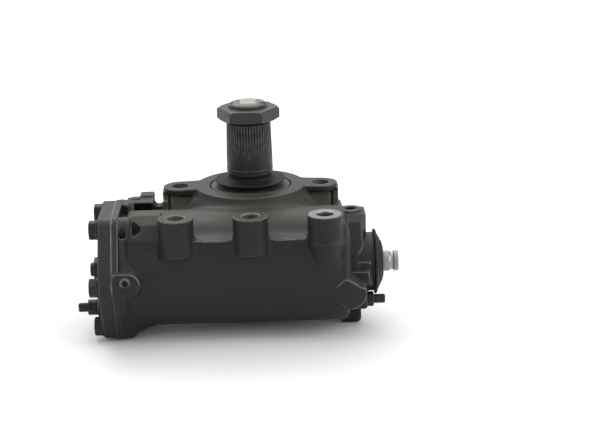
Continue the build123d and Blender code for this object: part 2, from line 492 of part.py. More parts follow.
for k in range(36):
    v = make_face(Polyline([(11.9, -0.55, 0), (11.9, 0.55, 0), (10.75, 0, 0)], close=True))
    i_ -= Plane(origin=(146.0, YP, ZP), x_dir=(0, 1, 0), z_dir=(1, 0, 0)) * Rot(0, 0, 10 * k) * extrude(v, 16.8, dir=(0, 0, 1))
i_ -= cx(4.9, 109, 141)
i_ -= cx(6.5, 109, 124)
i_ -= cx(2.05, 109, 110, YP, ZP)
i_ -= cz(2.05, ZP - 12, ZP + 12, 136.0, YP)
i_ -= rev_x([(0, 158.5), (2.0, 158.5), (4.2, 162.4), (0, 162.4)])
parts["input_shaft"] = one(i_)
t = rev_x([(0, -72), (4.88, -72), (4.88, -50), (3.4, -44), (3.4, 122), (4.8, 128), (4.8, 140.5), (0, 140.5)])
t -= cz(2.05, ZP - 10, ZP + 10, -62.0, YP)
t -= cz(2.05, ZP - 10, ZP + 10, 136.0, YP)
parts["torsion_bar"] = one(t)
parts["worm_torsion_pin"] = one(cz(2.0, ZP - 14, ZP + 14, -62.0, YP))
parts["input_torsion_pin"] = one(cz(2.0, ZP - 10.6, ZP + 10.6, 136.0, YP))
parts["input_seal"] = one(rev_x([(11.06, 129.0), (12.0, 127.6), (16.98, 127.6), (16.98, 134.4), (15.4, 134.4), (15.4, 129.4), (12.6, 129.4), (12.2, 133.6), (11.06, 133.6)]))
parts["input_dust_cover"] = one(rev_x([(11.02, 136.0), (14.5, 135.5), (27.0, 136.5), (32.9, 135.6), (34.2, 134.8), (35.6, 134.7), (36.3, 135.6), (36.1, 136.9), (34.4, 138.4),
                                       (30.4, 140.4), (28.6, 141.0), (28.2, 141.8), (26.9, 142.6), (24.6, 144.5), (16.0, 145.3), (15.4, 144.3), (12.2, 144.3), (11.02, 144.9)]))

# ------------------------------------------------------------------- export
for name, shape in parts.items():
    export_step(shape, f"parts/{name}.step")
    solids = shape.solids()
    print(f"{name}: {len(solids)} solid(s), {sum(s.volume for s in solids) / 1000:.1f} cm3")
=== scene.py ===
import itertools
import math

import bmesh
import bpy
import numpy as np
from mathutils import Matrix, Vector


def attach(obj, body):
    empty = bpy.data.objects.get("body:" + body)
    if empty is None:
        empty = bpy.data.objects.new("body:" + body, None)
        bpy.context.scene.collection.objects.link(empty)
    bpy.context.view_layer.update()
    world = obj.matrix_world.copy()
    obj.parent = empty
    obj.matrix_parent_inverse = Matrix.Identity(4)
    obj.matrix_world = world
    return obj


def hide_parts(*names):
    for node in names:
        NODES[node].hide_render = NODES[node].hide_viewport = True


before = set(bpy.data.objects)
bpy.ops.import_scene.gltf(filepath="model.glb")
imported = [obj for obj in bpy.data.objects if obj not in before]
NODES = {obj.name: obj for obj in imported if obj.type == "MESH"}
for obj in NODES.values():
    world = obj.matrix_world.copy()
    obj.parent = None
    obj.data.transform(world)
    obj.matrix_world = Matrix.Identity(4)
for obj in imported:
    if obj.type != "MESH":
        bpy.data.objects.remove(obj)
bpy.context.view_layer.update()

# ------------------------------------------------------------------ figures
# millimetres in the row frame, as in the CAD model
YP, ZP = -10.0, -73.2
SX, SY = 0.0, 64.0
FLOOR_Z = -144.3
MM = 0.001

# ============================================================ distance fields


def smin(a, b, k):
    if k <= 0:
        return np.minimum(a, b)
    h = np.maximum(k - np.abs(a - b), 0) / k
    return np.minimum(a, b) - h * h * (k * 0.25)


def smax(a, b, k):
    if k <= 0:
        return np.maximum(a, b)
    h = np.maximum(k - np.abs(a - b), 0) / k
    return np.maximum(a, b) + h * h * (k * 0.25)


def outline(pts, u, v):
    """Signed distance to a closed outline."""
    d, s = None, None
    for i in range(len(pts)):
        ax, ay = pts[i]
        bx, by = pts[i - 1]
        ex, ey = bx - ax, by - ay
        wx, wy = u - ax, v - ay
        t = np.clip((wx * ex + wy * ey) / (ex * ex + ey * ey), 0, 1)
        q = (wx - ex * t) ** 2 + (wy - ey * t) ** 2
        d = q if d is None else np.minimum(d, q)
        if abs(ey) > 1e-9:
            c = ((v >= ay) != (v >= by)) & (u < ex * (v - ay) / ey + ax)
            s = c if s is None else s ^ c
    return np.where(s, -1.0, 1.0).astype(np.float32) * np.sqrt(d)


def inset(pts, r):
    """The outline moved inwards by r, corner by corner."""
    n = len(pts)
    area = sum(pts[i - 1][0] * pts[i][1] - pts[i][0] * pts[i - 1][1] for i in range(n))
    sign = 1.0 if area > 0 else -1.0
    out = []
    for i in range(n):
        p0, p1, p2 = Vector(pts[i - 1]), Vector(pts[i]), Vector(pts[(i + 1) % n])
        e1, e2 = (p1 - p0).normalized(), (p2 - p1).normalized()
        n1, n2 = Vector((-e1.y, e1.x)) * sign, Vector((-e2.y, e2.x)) * sign
        m = (n1 + n2) / max(1 + n1.dot(n2), 0.35)
        out.append(tuple(p1 + m * r))
    return out


def cyl(axis, r, a0, a1, c1, c2, e=1.5, r2=None):
    """Cylinder or cone along an axis, with its ends' edges rounded by e."""
    i = "xyz".index(axis)
    lo, hi = [0, 0, 0], [0, 0, 0]
    others = [j for j in range(3) if j != i]
    rm = max(r, r2 or 0)
    lo[i], hi[i] = a0, a1
    for j, c in zip(others, (c1, c2)):
        lo[j], hi[j] = c - rm, c + rm

    def f(*g):
        q = np.sqrt((g[others[0]] - c1) ** 2 + (g[others[1]] - c2) ** 2)
        if r2 is None:
            q = q - r
        else:
            s = (r2 - r) / (a1 - a0)
            q = (q - (r + (g[i] - a0) * s)) / math.sqrt(1 + s * s)
        return smax(q, np.abs(g[i] - (a0 + a1) / 2) - (a1 - a0) / 2, e)

    return f, lo, hi


def box(x0, x1, y0, y1, z0, z1, e=2.0):
    def f(x, y, z):
        q = smax(np.abs(x - (x0 + x1) / 2) - (x1 - x0) / 2, np.abs(y - (y0 + y1) / 2) - (y1 - y0) / 2, e)
        return smax(q, np.abs(z - (z0 + z1) / 2) - (z1 - z0) / 2, e)

    return f, [x0, y0, z0], [x1, y1, z1]


def prism(axis, pts, a0, a1, r=2.0, e=2.0):
    """Outline in the other two axes, pushed along axis. r rounds its corners and e its ends."""
    i = "xyz".index(axis)
    others = [j for j in range(3) if j != i]
    small = inset(pts, r) if r else pts
    lo, hi = [0, 0, 0], [0, 0, 0]
    lo[i], hi[i] = a0, a1
    for n, j in enumerate(others):
        lo[j], hi[j] = min(p[n] for p in pts), max(p[n] for p in pts)

    def f(*g):
        q = outline(small, g[others[0]], g[others[1]]) - r
        return smax(q, np.abs(g[i] - (a0 + a1) / 2) - (a1 - a0) / 2, e)

    return f, lo, hi


def lobes(r, ring, x0, x1, e):
    """Hull of six circles on a ring about the piston axis, between two X planes."""
    pts = [(YP - ring * math.cos(math.radians(60 * k)), ZP + ring * math.sin(math.radians(60 * k))) for k in range(6)]
    m = ring + r

    def f(x, y, z):
        return smax(outline(pts, y, z) - r, np.abs(x - (x0 + x1) / 2) - (x1 - x0) / 2, e)

    return f, [x0, YP - m, ZP - m], [x1, YP + m, ZP + m]


def sloped_lobes(r, ring, x0, xm, x1):
    """The same hull, its corner radius falling from r at xm to nothing at x1."""
    pts = [(YP - ring * math.cos(math.radians(60 * k)), ZP + ring * math.sin(math.radians(60 * k))) for k in range(6)]
    m = ring + r

    def f(x, y, z):
        fall = r * np.clip((x1 - x) / (x1 - xm), 0, 1)
        return smax((outline(pts, y, z) - fall) * 0.93, np.abs(x - (x0 + x1) / 2) - (x1 - x0) / 2, 1.0)

    return f, [x0, YP - m, ZP - m], [x1, YP + m, ZP + m]


def turned(pts, cx, cy, r=0.0):
    """(radius, z) outline turned about a vertical axis."""
    small = inset(pts, r) if r else pts
    rm = max(p[0] for p in pts)
    z0, z1 = min(p[1] for p in pts), max(p[1] for p in pts)
    step = 0.5

    def f(x, y, z):
        q = np.sqrt((x - cx) ** 2 + (y - cy) ** 2)[:, :, 0]
        rr = np.arange(0, q.max() + 2 * step, step, dtype=np.float32)
        table = outline(small, rr[:, None], z.reshape(1, -1)) - r
        t = q / step
        i = np.minimum(t.astype(np.int32), len(rr) - 2)
        w = (t - i)[:, :, None]
        return table[i] * (1 - w) + table[i + 1] * w

    return f, [cx - rm, cy - rm, z0], [cx + rm, cy + rm, z1]


def capsule(pts, r):
    """Round rod along a chain of points."""
    p = np.array(pts, np.float32)

    def f(x, y, z):
        d = None
        for a, b in zip(p[:-1], p[1:]):
            e = b - a
            t = np.clip(((x - a[0]) * e[0] + (y - a[1]) * e[1] + (z - a[2]) * e[2]) / float(e @ e), 0, 1)
            q = (x - a[0] - e[0] * t) ** 2 + (y - a[1] - e[1] * t) ** 2 + (z - a[2] - e[2] * t) ** 2
            d = q if d is None else np.minimum(d, q)
        return np.sqrt(d) - r

    return f, list(p.min(0) - r), list(p.max(0) + r)


def both(a, b, k=1.0):
    """What two shapes share."""
    lo = [max(p, q) for p, q in zip(a[1], b[1])]
    hi = [min(p, q) for p, q in zip(a[2], b[2])]
    return (lambda x, y, z: smax(a[0](x, y, z), b[0](x, y, z), k)), lo, hi


def spun(axis, pts, c1, c2, r=0.0, thread=(), teeth=()):
    """(radius, distance along the axis) outline turned about an axis. thread: (from, to, pitch, depth) rows.
    teeth: (count, [(along, depth), ...]) rows of V grooves."""
    i = "xyz".index(axis)
    others = [j for j in range(3) if j != i]
    small = inset(pts, r) if r else pts
    rm = max(p[0] for p in pts)
    lo, hi = [0, 0, 0], [0, 0, 0]
    lo[i], hi[i] = min(p[1] for p in pts), max(p[1] for p in pts)
    for j, c in zip(others, (c1, c2)):
        lo[j], hi[j] = c - rm, c + rm

    def f(*g):
        p, q, a = g[others[0]] - c1, g[others[1]] - c2, g[i]
        rad = np.sqrt(p * p + q * q) + 0 * a
        turn = np.arctan2(q, p) / (2 * math.pi) + 0 * a
        for t0, t1, pitch, depth in thread:
            w = np.clip(np.minimum(a - t0, t1 - a) / pitch, 0, 1)
            s = np.abs(((a / pitch + turn) % 1.0) - 0.5) * 2
            rad = rad + w * depth * np.clip(s * 1.25 - 0.12, 0, 1)
        for count, run in teeth:
            d = np.interp(a, [k for k, _ in run], [k for _, k in run]).astype(np.float32)
            s = np.abs(((turn * count) % 1.0) - 0.5) * 2
            half = np.clip(d * 0.7, 0.05, None) * count / (math.pi * rm)
            rad = rad + d * np.clip((s - 1 + half) / half, 0, 1)
        return outline(small, rad, a) - r

    return f, lo, hi


def hexagon(axis, af, a0, a1, c1, c2, turn, r=0.6, top=0.0, bottom=0.0):
    """Hexagon bar with rounded corners, its ends turned off at 30 degrees."""
    i = "xyz".index(axis)
    others = [j for j in range(3) if j != i]
    rc = af / math.sqrt(3)
    lo, hi = [0, 0, 0], [0, 0, 0]
    lo[i], hi[i] = a0, a1
    for j, c in zip(others, (c1, c2)):
        lo[j], hi[j] = c - rc, c + rc

    def f(*g):
        p, q, a = g[others[0]] - c1, g[others[1]] - c2, g[i]
        d = None
        for k in range(3):
            t = math.radians(turn + 60 * k + 30)
            s = np.abs(p * math.cos(t) + q * math.sin(t)) - af / 2
            d = s if d is None else smax(d, s, r)
        d = smax(d, np.abs(a - (a0 + a1) / 2) - (a1 - a0) / 2, r)
        rad = np.sqrt(p * p + q * q)
        if top:
            d = smax(d, (rad - rc) * 0.5 + (a - a1 + top) * 0.866, r * 0.5)
        if bottom:
            d = smax(d, (rad - rc) * 0.5 + (a0 + bottom - a) * 0.866, r * 0.5)
        return d

    return f, lo, hi


class Field:
    def __init__(self, lo, hi, step):
        self.step = step
        self.lo = np.array(lo, float)
        self.ax = [np.arange(lo[i], hi[i] + step, step, dtype=np.float32) for i in range(3)]
        self.d = np.full([len(a) for a in self.ax], 40.0, np.float32)

    def part(self, lo, hi, m):
        s, g = [], []
        for i in range(3):
            a = int(np.searchsorted(self.ax[i], lo[i] - m))
            b = int(np.searchsorted(self.ax[i], hi[i] + m))
            s.append(slice(a, b))
            shape = [1, 1, 1]
            shape[i] = -1
            g.append(self.ax[i][a:b].reshape(shape))
        return tuple(s), g

    def add(self, shape, k=0.0, m=10.0):
        f, lo, hi = shape
        s, g = self.part(lo, hi, k + m)
        if min(len(q.ravel()) for q in g):
            self.d[s] = smin(self.d[s], f(*g).astype(np.float32), k)

    def cut(self, shape, k=0.0, m=4.0):
        f, lo, hi = shape
        s, g = self.part(lo, hi, k + m)
        if min(len(q.ravel()) for q in g):
            self.d[s] = smax(self.d[s], -f(*g).astype(np.float32), k)

    def keep(self, shape, k=0.0):
        """Cuts off all that lies outside a shape."""
        g = [a.reshape([-1 if j == i else 1 for j in range(3)]) for i, a in enumerate(self.ax)]
        self.d[:] = smax(self.d, shape[0](*g).astype(np.float32), k)

    def rough(self, size, amount, seed):
        """Waviness of a sand mould: smooth noise of the given grain size."""
        rng = np.random.default_rng(seed)
        w, n = [], []
        for a in self.ax:
            count = int((a[-1] - a[0]) / size) + 4
            t = (a - a[0]) / size + 1
            i = t.astype(int)
            f = t - i
            m = np.zeros((len(a), count + 2), np.float32)
            for o, c in ((-1, (1 - f) ** 3 / 6), (0, (3 * f**3 - 6 * f**2 + 4) / 6), (1, (-3 * f**3 + 3 * f**2 + 3 * f + 1) / 6), (2, f**3 / 6)):
                m[np.arange(len(a)), i + o] += c
            w.append(m)
            n.append(m.shape[1])
        r = rng.uniform(-1, 1, n).astype(np.float32)
        r = np.tensordot(w[0], r, (1, 0))
        r = np.tensordot(r, w[1], (1, 1)).transpose(0, 2, 1)
        r = np.tensordot(r, w[2], (2, 1))
        self.d += r * (amount * 1.9)

    def sample(self, p):
        q = p
        i = np.floor(q).astype(np.int32)
        for j in range(3):
            i[:, j] = np.clip(i[:, j], 0, self.d.shape[j] - 2)
        f = (q - i).astype(np.float32)
        out = 0
        for a, b, c in itertools.product((0, 1), repeat=3):
            w = (f[:, 0] if a else 1 - f[:, 0]) * (f[:, 1] if b else 1 - f[:, 1]) * (f[:, 2] if c else 1 - f[:, 2])
            out = out + w * self.d[i[:, 0] + a, i[:, 1] + b, i[:, 2] + c]
        return out

    def mesh(self, name, settle=3, relax=2):
        return build(name, *self.surface(settle, relax))

    def surface(self, settle=3, relax=2):
        """The zero surface as quads, one vertex in each cell that it crosses."""
        s = self.d < 0
        n = np.array(self.d.shape) - 1
        some = np.zeros(n, bool)
        full = np.ones(n, bool)
        for a, b, c in itertools.product((0, 1), repeat=3):
            q = s[a:n[0] + a, b:n[1] + b, c:n[2] + c]
            some |= q
            full &= q
        act = some & ~full
        ijk = np.argwhere(act)
        index = np.full(n, -1, np.int32)
        index[act] = np.arange(len(ijk))
        corner = {o: self.d[ijk[:, 0] + o[0], ijk[:, 1] + o[1], ijk[:, 2] + o[2]] for o in itertools.product((0, 1), repeat=3)}
        total = np.zeros((len(ijk), 3), np.float32)
        count = np.zeros(len(ijk), np.float32)
        for o in corner:
            for j in range(3):
                if o[j]:
                    continue
                o2 = tuple(1 if i == j else o[i] for i in range(3))
                va, vb = corner[o], corner[o2]
                m = (va < 0) != (vb < 0)
                t = np.where(m, va / np.where(m, va - vb, 1), 0)
                for i in range(3):
                    total[:, i] += np.where(m, o[i] + (t if i == j else 0), 0)
                count += m
        v = ijk + total / count[:, None]
        quads = []
        for j in range(3):
            o1, o2 = [(1, 2), (2, 0), (0, 1)][j]
            a = [slice(None)] * 3
            b = [slice(None)] * 3
            a[j], b[j] = slice(0, -1), slice(1, None)
            cross = s[tuple(a)] != s[tuple(b)]
            e = np.argwhere(cross)
            e = e[(e[:, o1] > 0) & (e[:, o2] > 0) & (e[:, o1] < n[o1]) & (e[:, o2] < n[o2])]
            up = s[e[:, 0], e[:, 1], e[:, 2]]

            def cell(d1, d2):
                c = e.copy()
                c[:, o1] += d1
                c[:, o2] += d2
                return index[c[:, 0], c[:, 1], c[:, 2]]

            q = np.stack([cell(-1, -1), cell(0, -1), cell(0, 0), cell(-1, 0)], 1)
            q[~up] = q[~up][:, ::-1]
            quads.append(q)
        quads = np.concatenate(quads)
        edges = np.concatenate([quads[:, [i, (i + 1) % 4]] for i in range(4)])
        deg = np.bincount(edges[:, 0], minlength=len(v)) + np.bincount(edges[:, 1], minlength=len(v))

        def smooth(v, share):
            out = np.empty_like(v)
            for i in range(3):
                t = np.bincount(edges[:, 0], v[edges[:, 1], i], len(v)) + np.bincount(edges[:, 1], v[edges[:, 0], i], len(v))
                out[:, i] = v[:, i] * (1 - share) + share * t / deg
            return out

        for k in range(settle):
            if k < relax:
                v = smooth(v, 0.5)
            val = self.sample(v)
            grad = np.empty_like(v)
            for i in range(3):
                d = np.zeros(3)
                d[i] = 0.5
                grad[:, i] = self.sample(v + d) - self.sample(v - d)
            g2 = np.maximum((grad**2).sum(1), (0.3 * self.step) ** 2)
            v = v - np.clip(val / g2, -1.0, 1.0)[:, None] * grad
        # how far each vertex stands out from its neighbours, for the painted edge highlights and the painted shade in
        # hollows
        lap = smooth(v, 1.0) - v
        lift = -(lap * grad).sum(1) / np.sqrt(np.maximum((grad**2).sum(1), 1e-9))
        for k in range(2):
            lift = smooth(np.repeat(lift[:, None], 3, 1), 0.5)[:, 0]
        return (v * self.step + self.lo) * MM, quads, lift / self.step


def join(name, surfaces):
    """Several closed surfaces in one mesh object."""
    v, q, e, n = [], [], [], 0
    for a, b, c in surfaces:
        v.append(a)
        q.append(b + n)
        e.append(c)
        n += len(a)
    return build(name, np.concatenate(v), np.concatenate(q), np.concatenate(e))


def build(name, verts, faces, edge=None, smooth=True):
    """Mesh object from an array of points and one of equal faces."""
    me = bpy.data.meshes.new(name)
    k = faces.shape[1]
    if edge is None:
        edge = np.zeros(len(verts))
    me.vertices.add(len(verts))
    me.vertices.foreach_set("co", np.ascontiguousarray(verts, np.float32).ravel())
    me.loops.add(faces.size)
    me.loops.foreach_set("vertex_index", np.ascontiguousarray(faces, np.int32).ravel())
    me.polygons.add(len(faces))
    me.polygons.foreach_set("loop_start", np.arange(0, faces.size, k, dtype=np.int32))
    me.polygons.foreach_set("loop_total", np.full(len(faces), k, np.int32))
    me.polygons.foreach_set("use_smooth", np.full(len(faces), smooth))
    a = me.attributes.new("edge", "FLOAT", "POINT")
    a.data.foreach_set("value", np.ascontiguousarray(edge, np.float32))
    me.update(calc_edges=True)
    me.validate()
    o = bpy.data.objects.new(name, me)
    bpy.context.scene.collection.objects.link(o)
    return o


# ================================================================= materials


class Nodes:
    def __init__(self, name):
        self.m = bpy.data.materials.new(name)
        self.m.use_nodes = True
        self.t = self.m.node_tree
        self.t.nodes.clear()
        self.out = self.t.nodes.new("ShaderNodeOutputMaterial")
        self.b = self.t.nodes.new("ShaderNodeBsdfPrincipled")
        self.t.links.new(self.b.outputs[0], self.out.inputs[0])
        c = self.t.nodes.new("ShaderNodeTexCoord")
        self.pos = c.outputs["Object"]

    def link(self, a, b):
        self.t.links.new(a, b)

    def noise(self, scale, detail=3.0, rough=0.5, at=None, stretch=None):
        n = self.t.nodes.new("ShaderNodeTexNoise")
        n.inputs["Scale"].default_value = scale
        n.inputs["Detail"].default_value = detail
        n.inputs["Roughness"].default_value = rough
        src = at or self.pos
        if stretch:
            m = self.t.nodes.new("ShaderNodeMapping")
            m.inputs["Scale"].default_value = stretch
            self.link(src, m.inputs["Vector"])
            src = m.outputs["Vector"]
        self.link(src, n.inputs["Vector"])
        return n.outputs["Fac"]

    def cells(self, scale, feature="F1"):
        n = self.t.nodes.new("ShaderNodeTexVoronoi")
        n.feature = feature
        n.inputs["Scale"].default_value = scale
        self.link(self.pos, n.inputs["Vector"])
        return n.outputs["Distance"]

    def ramp(self, fac, stops):
        n = self.t.nodes.new("ShaderNodeValToRGB")
        cr = n.color_ramp
        while len(cr.elements) < len(stops):
            cr.elements.new(0.5)
        for e, (p, c) in zip(cr.elements, stops):
            e.position = p
            e.color = (c, c, c, 1) if isinstance(c, (int, float)) else (*c, 1)
        self.link(fac, n.inputs["Fac"])
        return n.outputs["Color"]

    def span(self, v, a, b, c, d):
        n = self.t.nodes.new("ShaderNodeMapRange")
        for i, q in zip((1, 2, 3, 4), (a, b, c, d)):
            n.inputs[i].default_value = q
        self.link(v, n.inputs[0])
        return n.outputs[0]

    def math(self, op, a, b=0.0, c=0.0):
        n = self.t.nodes.new("ShaderNodeMath")
        n.operation = op
        for i, q in enumerate((a, b, c)):
            if isinstance(q, (int, float)):
                n.inputs[i].default_value = q
            else:
                self.link(q, n.inputs[i])
        return n.outputs[0]

    def mix(self, fac, a, b):
        n = self.t.nodes.new("ShaderNodeMix")
        n.data_type = "RGBA"
        for i, q in ((0, fac), (6, a), (7, b)):
            if isinstance(q, (int, float)):
                n.inputs[i].default_value = q
            elif isinstance(q, tuple):
                n.inputs[i].default_value = (*q, 1)
            else:
                self.link(q, n.inputs[i])
        return n.outputs[2]

    def xyz(self):
        n = self.t.nodes.new("ShaderNodeSeparateXYZ")
        self.link(self.pos, n.inputs[0])
        return n.outputs

    def bump(self, height, dist, strength=1.0, after=None):
        n = self.t.nodes.new("ShaderNodeBump")
        n.inputs["Strength"].default_value = strength
        n.inputs["Distance"].default_value = dist
        self.link(height, n.inputs["Height"])
        if after is not None:
            self.link(after, n.inputs["Normal"])
        return n.outputs["Normal"]

    def set(self, **kw):
        for k, v in kw.items():
            s = self.b.inputs[k.replace("_", " ")]
            if isinstance(v, (int, float)):
                s.default_value = v
            elif isinstance(v, tuple):
                s.default_value = (*v, 1)
            else:
                self.link(v, s)
        return self.m


def edges(n, col, gain=1.0, light=(0.125, 0.123, 0.113), share=0.6, hollow_shade=0.55):
    """Standing edges made lighter, partly paint thinned and dusty and partly a painted highlight that fades where the
    surface faces down; hollows made darker, painted shade.
    """
    a = n.t.nodes.new("ShaderNodeAttribute")
    a.attribute_name = "edge"
    e = n.math("MULTIPLY", a.outputs["Fac"], gain)
    patchy = n.noise(260, 3, 0.6)
    g = n.t.nodes.new("ShaderNodeNewGeometry")
    s = n.t.nodes.new("ShaderNodeSeparateXYZ")
    n.link(g.outputs["Normal"], s.inputs[0])
    edge_wear_and_highlight = n.math("MULTIPLY", n.span(e, 0.06, 0.20, 0.0, share), n.span(patchy, 0.3, 0.6, 0.45, 1.0))
    # painted highlight: the edge lightening fades where the surface faces down, away from the light
    edge_wear_and_highlight = n.math("MULTIPLY", edge_wear_and_highlight, n.span(s.outputs[2], -0.35, 0.0, 0.15, 1.0))
    # painted shade: hollows darkened towards black
    hollow_shade_mask = n.span(e, -0.22, -0.04, hollow_shade, 0.0)
    col = n.mix(edge_wear_and_highlight, col, light)
    return n.mix(hollow_shade_mask, col, (0.004, 0.004, 0.0042))


def inside(n, p, limits, soft):
    """1 within a box (metres), fading over a soft border."""
    m = None
    for j in range(3):
        lo, hi = limits[j]
        q = n.math("MULTIPLY", n.span(p[j], lo - soft, lo, 0.0, 1.0), n.span(p[j], hi, hi + soft, 1.0, 0.0))
        m = q if m is None else n.math("MULTIPLY", m, q)
    return m


def painted_casting(name, worn=(), painted_light_film=()):
    """Satin charcoal paint over a sand casting. worn: (x, y, z, radius, wobble, share) places, in metres, where tools
    have rubbed it bare.
    painted_light_film: boxes, in metres, whose surfaces are painted lighter, painted light on walls that lie in shade."""
    n = Nodes(name)
    big = n.noise(14, 3, 0.55)
    mid = n.noise(70, 4, 0.6)
    fine = n.noise(620, 2, 0.6)
    grain = n.noise(1500, 1, 0.5)
    col = n.ramp(big, [(0.30, (0.0132, 0.0132, 0.0133)), (0.72, (0.0178, 0.0178, 0.0175))])
    spots = n.span(n.cells(95), 0.035, 0.075, 1.0, 0.0)
    spots = n.math("MULTIPLY", spots, n.span(mid, 0.52, 0.62, 0.0, 1.0))
    col = n.mix(n.math("MULTIPLY", spots, 0.35), col, (0.075, 0.073, 0.068))
    # faces that look up are made lighter: a film of yellowish dust, and partly painted light from above
    g = n.t.nodes.new("ShaderNodeNewGeometry")
    s = n.t.nodes.new("ShaderNodeSeparateXYZ")
    n.link(g.outputs["Normal"], s.inputs[0])
    dust_and_top_light = n.math("MULTIPLY", n.span(s.outputs[2], 0.12, 0.95, 0.0, 0.62), n.span(mid, 0.3, 0.7, 0.7, 1.0))
    col = n.mix(dust_and_top_light, col, (0.063, 0.063, 0.0525))
    # painted light: walls in shade under the rear bosses painted lighter, as if lit
    for limits, share, tone in painted_light_film:
        p = n.xyz()
        m = n.math("MULTIPLY", inside(n, p, limits, 0.0015), n.span(mid, 0.3, 0.7, share * 0.75, share))
        col = n.mix(m, col, tone)
    # standing edges painted lighter, partly worn paint and partly painted highlight; hollows painted darker, painted
    # shade
    col = edges(n, col, 1.5, (0.16, 0.158, 0.146), 0.75, 0.7)
    rough = n.math("ADD", n.span(mid, 0.3, 0.7, 0.42, 0.54), n.span(fine, 0.3, 0.7, -0.03, 0.03))
    metal = None
    for x, y, z, r, w, share in worn:
        p = n.xyz()
        dx = n.math("SUBTRACT", p[0], x)
        dy = n.math("SUBTRACT", p[1], y)
        d = n.math("SQRT", n.math("ADD", n.math("MULTIPLY", dx, dx), n.math("MULTIPLY", dy, dy)))
        d = n.math("ADD", d, n.span(mid, 0.3, 0.7, -w, w))
        near = n.span(d, r - 0.0006, r + 0.0006, share, 0.0)
        top = n.span(p[2], z - 0.0022, z - 0.0016, 0.0, 1.0)
        q = n.math("MULTIPLY", near, top)
        q = n.math("MULTIPLY", q, n.span(fine, 0.35, 0.65, 0.75, 1.0))
        metal = q if metal is None else n.math("MAXIMUM", metal, q)
    if metal is not None:
        col = n.mix(metal, col, (0.36, 0.35, 0.34))
        rough = n.math("MULTIPLY_ADD", metal, -0.10, rough)
        n.set(Metallic=n.math("MULTIPLY", metal, 0.85))
    b = n.bump(mid, 0.00022, 0.55)
    b = n.bump(fine, 0.00007, 0.6, b)
    b = n.bump(grain, 0.000025, 0.5, b)
    return n.set(Base_Color=col, Roughness=rough, Normal=b, Specular_IOR_Level=0.24)


def painted_smooth(name, dark=(0.020, 0.020, 0.0198), light=(0.027, 0.0267, 0.0250), rough=(0.36, 0.48), axis=2, lines=900.0, dust_and_top_light=0.0, pit=None, crown=None, hollow_shade=0.55, edge=0.5):
    """The same paint over a machined surface, with faint tool rings. pit: a box (metres) whose inside has been rubbed bright.
    crown: height (metres) above which the paint has been rubbed thin."""
    n = Nodes(name)
    big = n.noise(30, 3, 0.5)
    mid = n.noise(160, 3, 0.6)
    stretch = [6.0, 6.0, 6.0]
    stretch[axis] = lines
    ring = n.noise(1.0, 2, 0.5, stretch=tuple(stretch))
    col = n.ramp(big, [(0.3, dark), (0.7, light)])
    # faces that look up made lighter: dust, and partly painted light from above
    if dust_and_top_light:
        g = n.t.nodes.new("ShaderNodeNewGeometry")
        s = n.t.nodes.new("ShaderNodeSeparateXYZ")
        n.link(g.outputs["Normal"], s.inputs[0])
        painted_light_film = n.math("MULTIPLY", n.span(s.outputs[2], 0.3, 0.95, 0.0, dust_and_top_light), n.span(mid, 0.3, 0.7, 0.6, 1.0))
        col = n.mix(painted_light_film, col, (0.085, 0.085, 0.068))
    if crown:
        col = n.mix(n.math("MULTIPLY", n.span(n.xyz()[2], crown - 0.0003, crown + 0.0006, 0.0, 0.85), n.span(mid, 0.3, 0.7, 0.6, 1.0)), col, (0.165, 0.165, 0.150))
    # standing edges painted lighter, partly worn paint and partly painted highlight; hollows painted darker, painted
    # shade
    col = edges(n, col, edge, (0.135, 0.134, 0.118), 0.8, hollow_shade)
    r = n.math("ADD", n.span(mid, 0.3, 0.7, rough[0], rough[1]), n.span(ring, 0.3, 0.7, -0.03, 0.03))
    if pit:
        p = n.xyz()
        m = None
        for j in range(3):
            q = n.math("MULTIPLY", n.span(p[j], pit[j][0] - 0.0003, pit[j][0], 0.0, 1.0), n.span(p[j], pit[j][1], pit[j][1] + 0.0003, 1.0, 0.0))
            m = q if m is None else n.math("MULTIPLY", m, q)
        col = n.mix(m, col, (0.62, 0.62, 0.60))
        r = n.math("MULTIPLY_ADD", m, -0.22, r)
        n.set(Metallic=m)
    b = n.bump(ring, 0.00003, 0.5)
    b = n.bump(mid, 0.00006, 0.4, b)
    return n.set(Base_Color=col, Roughness=r, Normal=b, Specular_IOR_Level=0.32)


def line_paint(name, dark, light, low):
    """Paint gathered in a thin line along an edge, its light tone partly a painted highlight, turned dark below a
    height (metres) as painted shade.
    """
    n = Nodes(name)
    patchy = n.noise(190, 3, 0.6)
    col = n.ramp(patchy, [(0.35, dark), (0.65, light)])
    # painted shade: the line turns dark below the given height
    col = n.mix(n.span(n.xyz()[2], low - 0.004, low + 0.004, 0.85, 0.0), col, (0.022, 0.022, 0.021))
    fine = n.noise(900, 2, 0.5)
    return n.set(Base_Color=col, Roughness=n.span(patchy, 0.3, 0.7, 0.42, 0.56), Normal=n.bump(fine, 0.00003, 0.5), Specular_IOR_Level=0.25)


def black_fastener(name):
    """Black phosphate under a thin coat of paint."""
    n = Nodes(name)
    big = n.noise(60, 3, 0.6)
    fine = n.noise(900, 3, 0.6)
    col = n.ramp(big, [(0.3, (0.008, 0.008, 0.0085)), (0.75, (0.015, 0.0148, 0.0145))])
    # standing edges painted lighter, partly worn coat and partly painted highlight; hollows painted darker, painted
    # shade
    col = edges(n, col, 0.45, (0.10, 0.10, 0.095), 0.5, 0.8)
    r = n.span(fine, 0.3, 0.7, 0.32, 0.5)
    return n.set(Base_Color=col, Roughness=r, Normal=n.bump(fine, 0.00003, 0.6), Specular_IOR_Level=0.3)


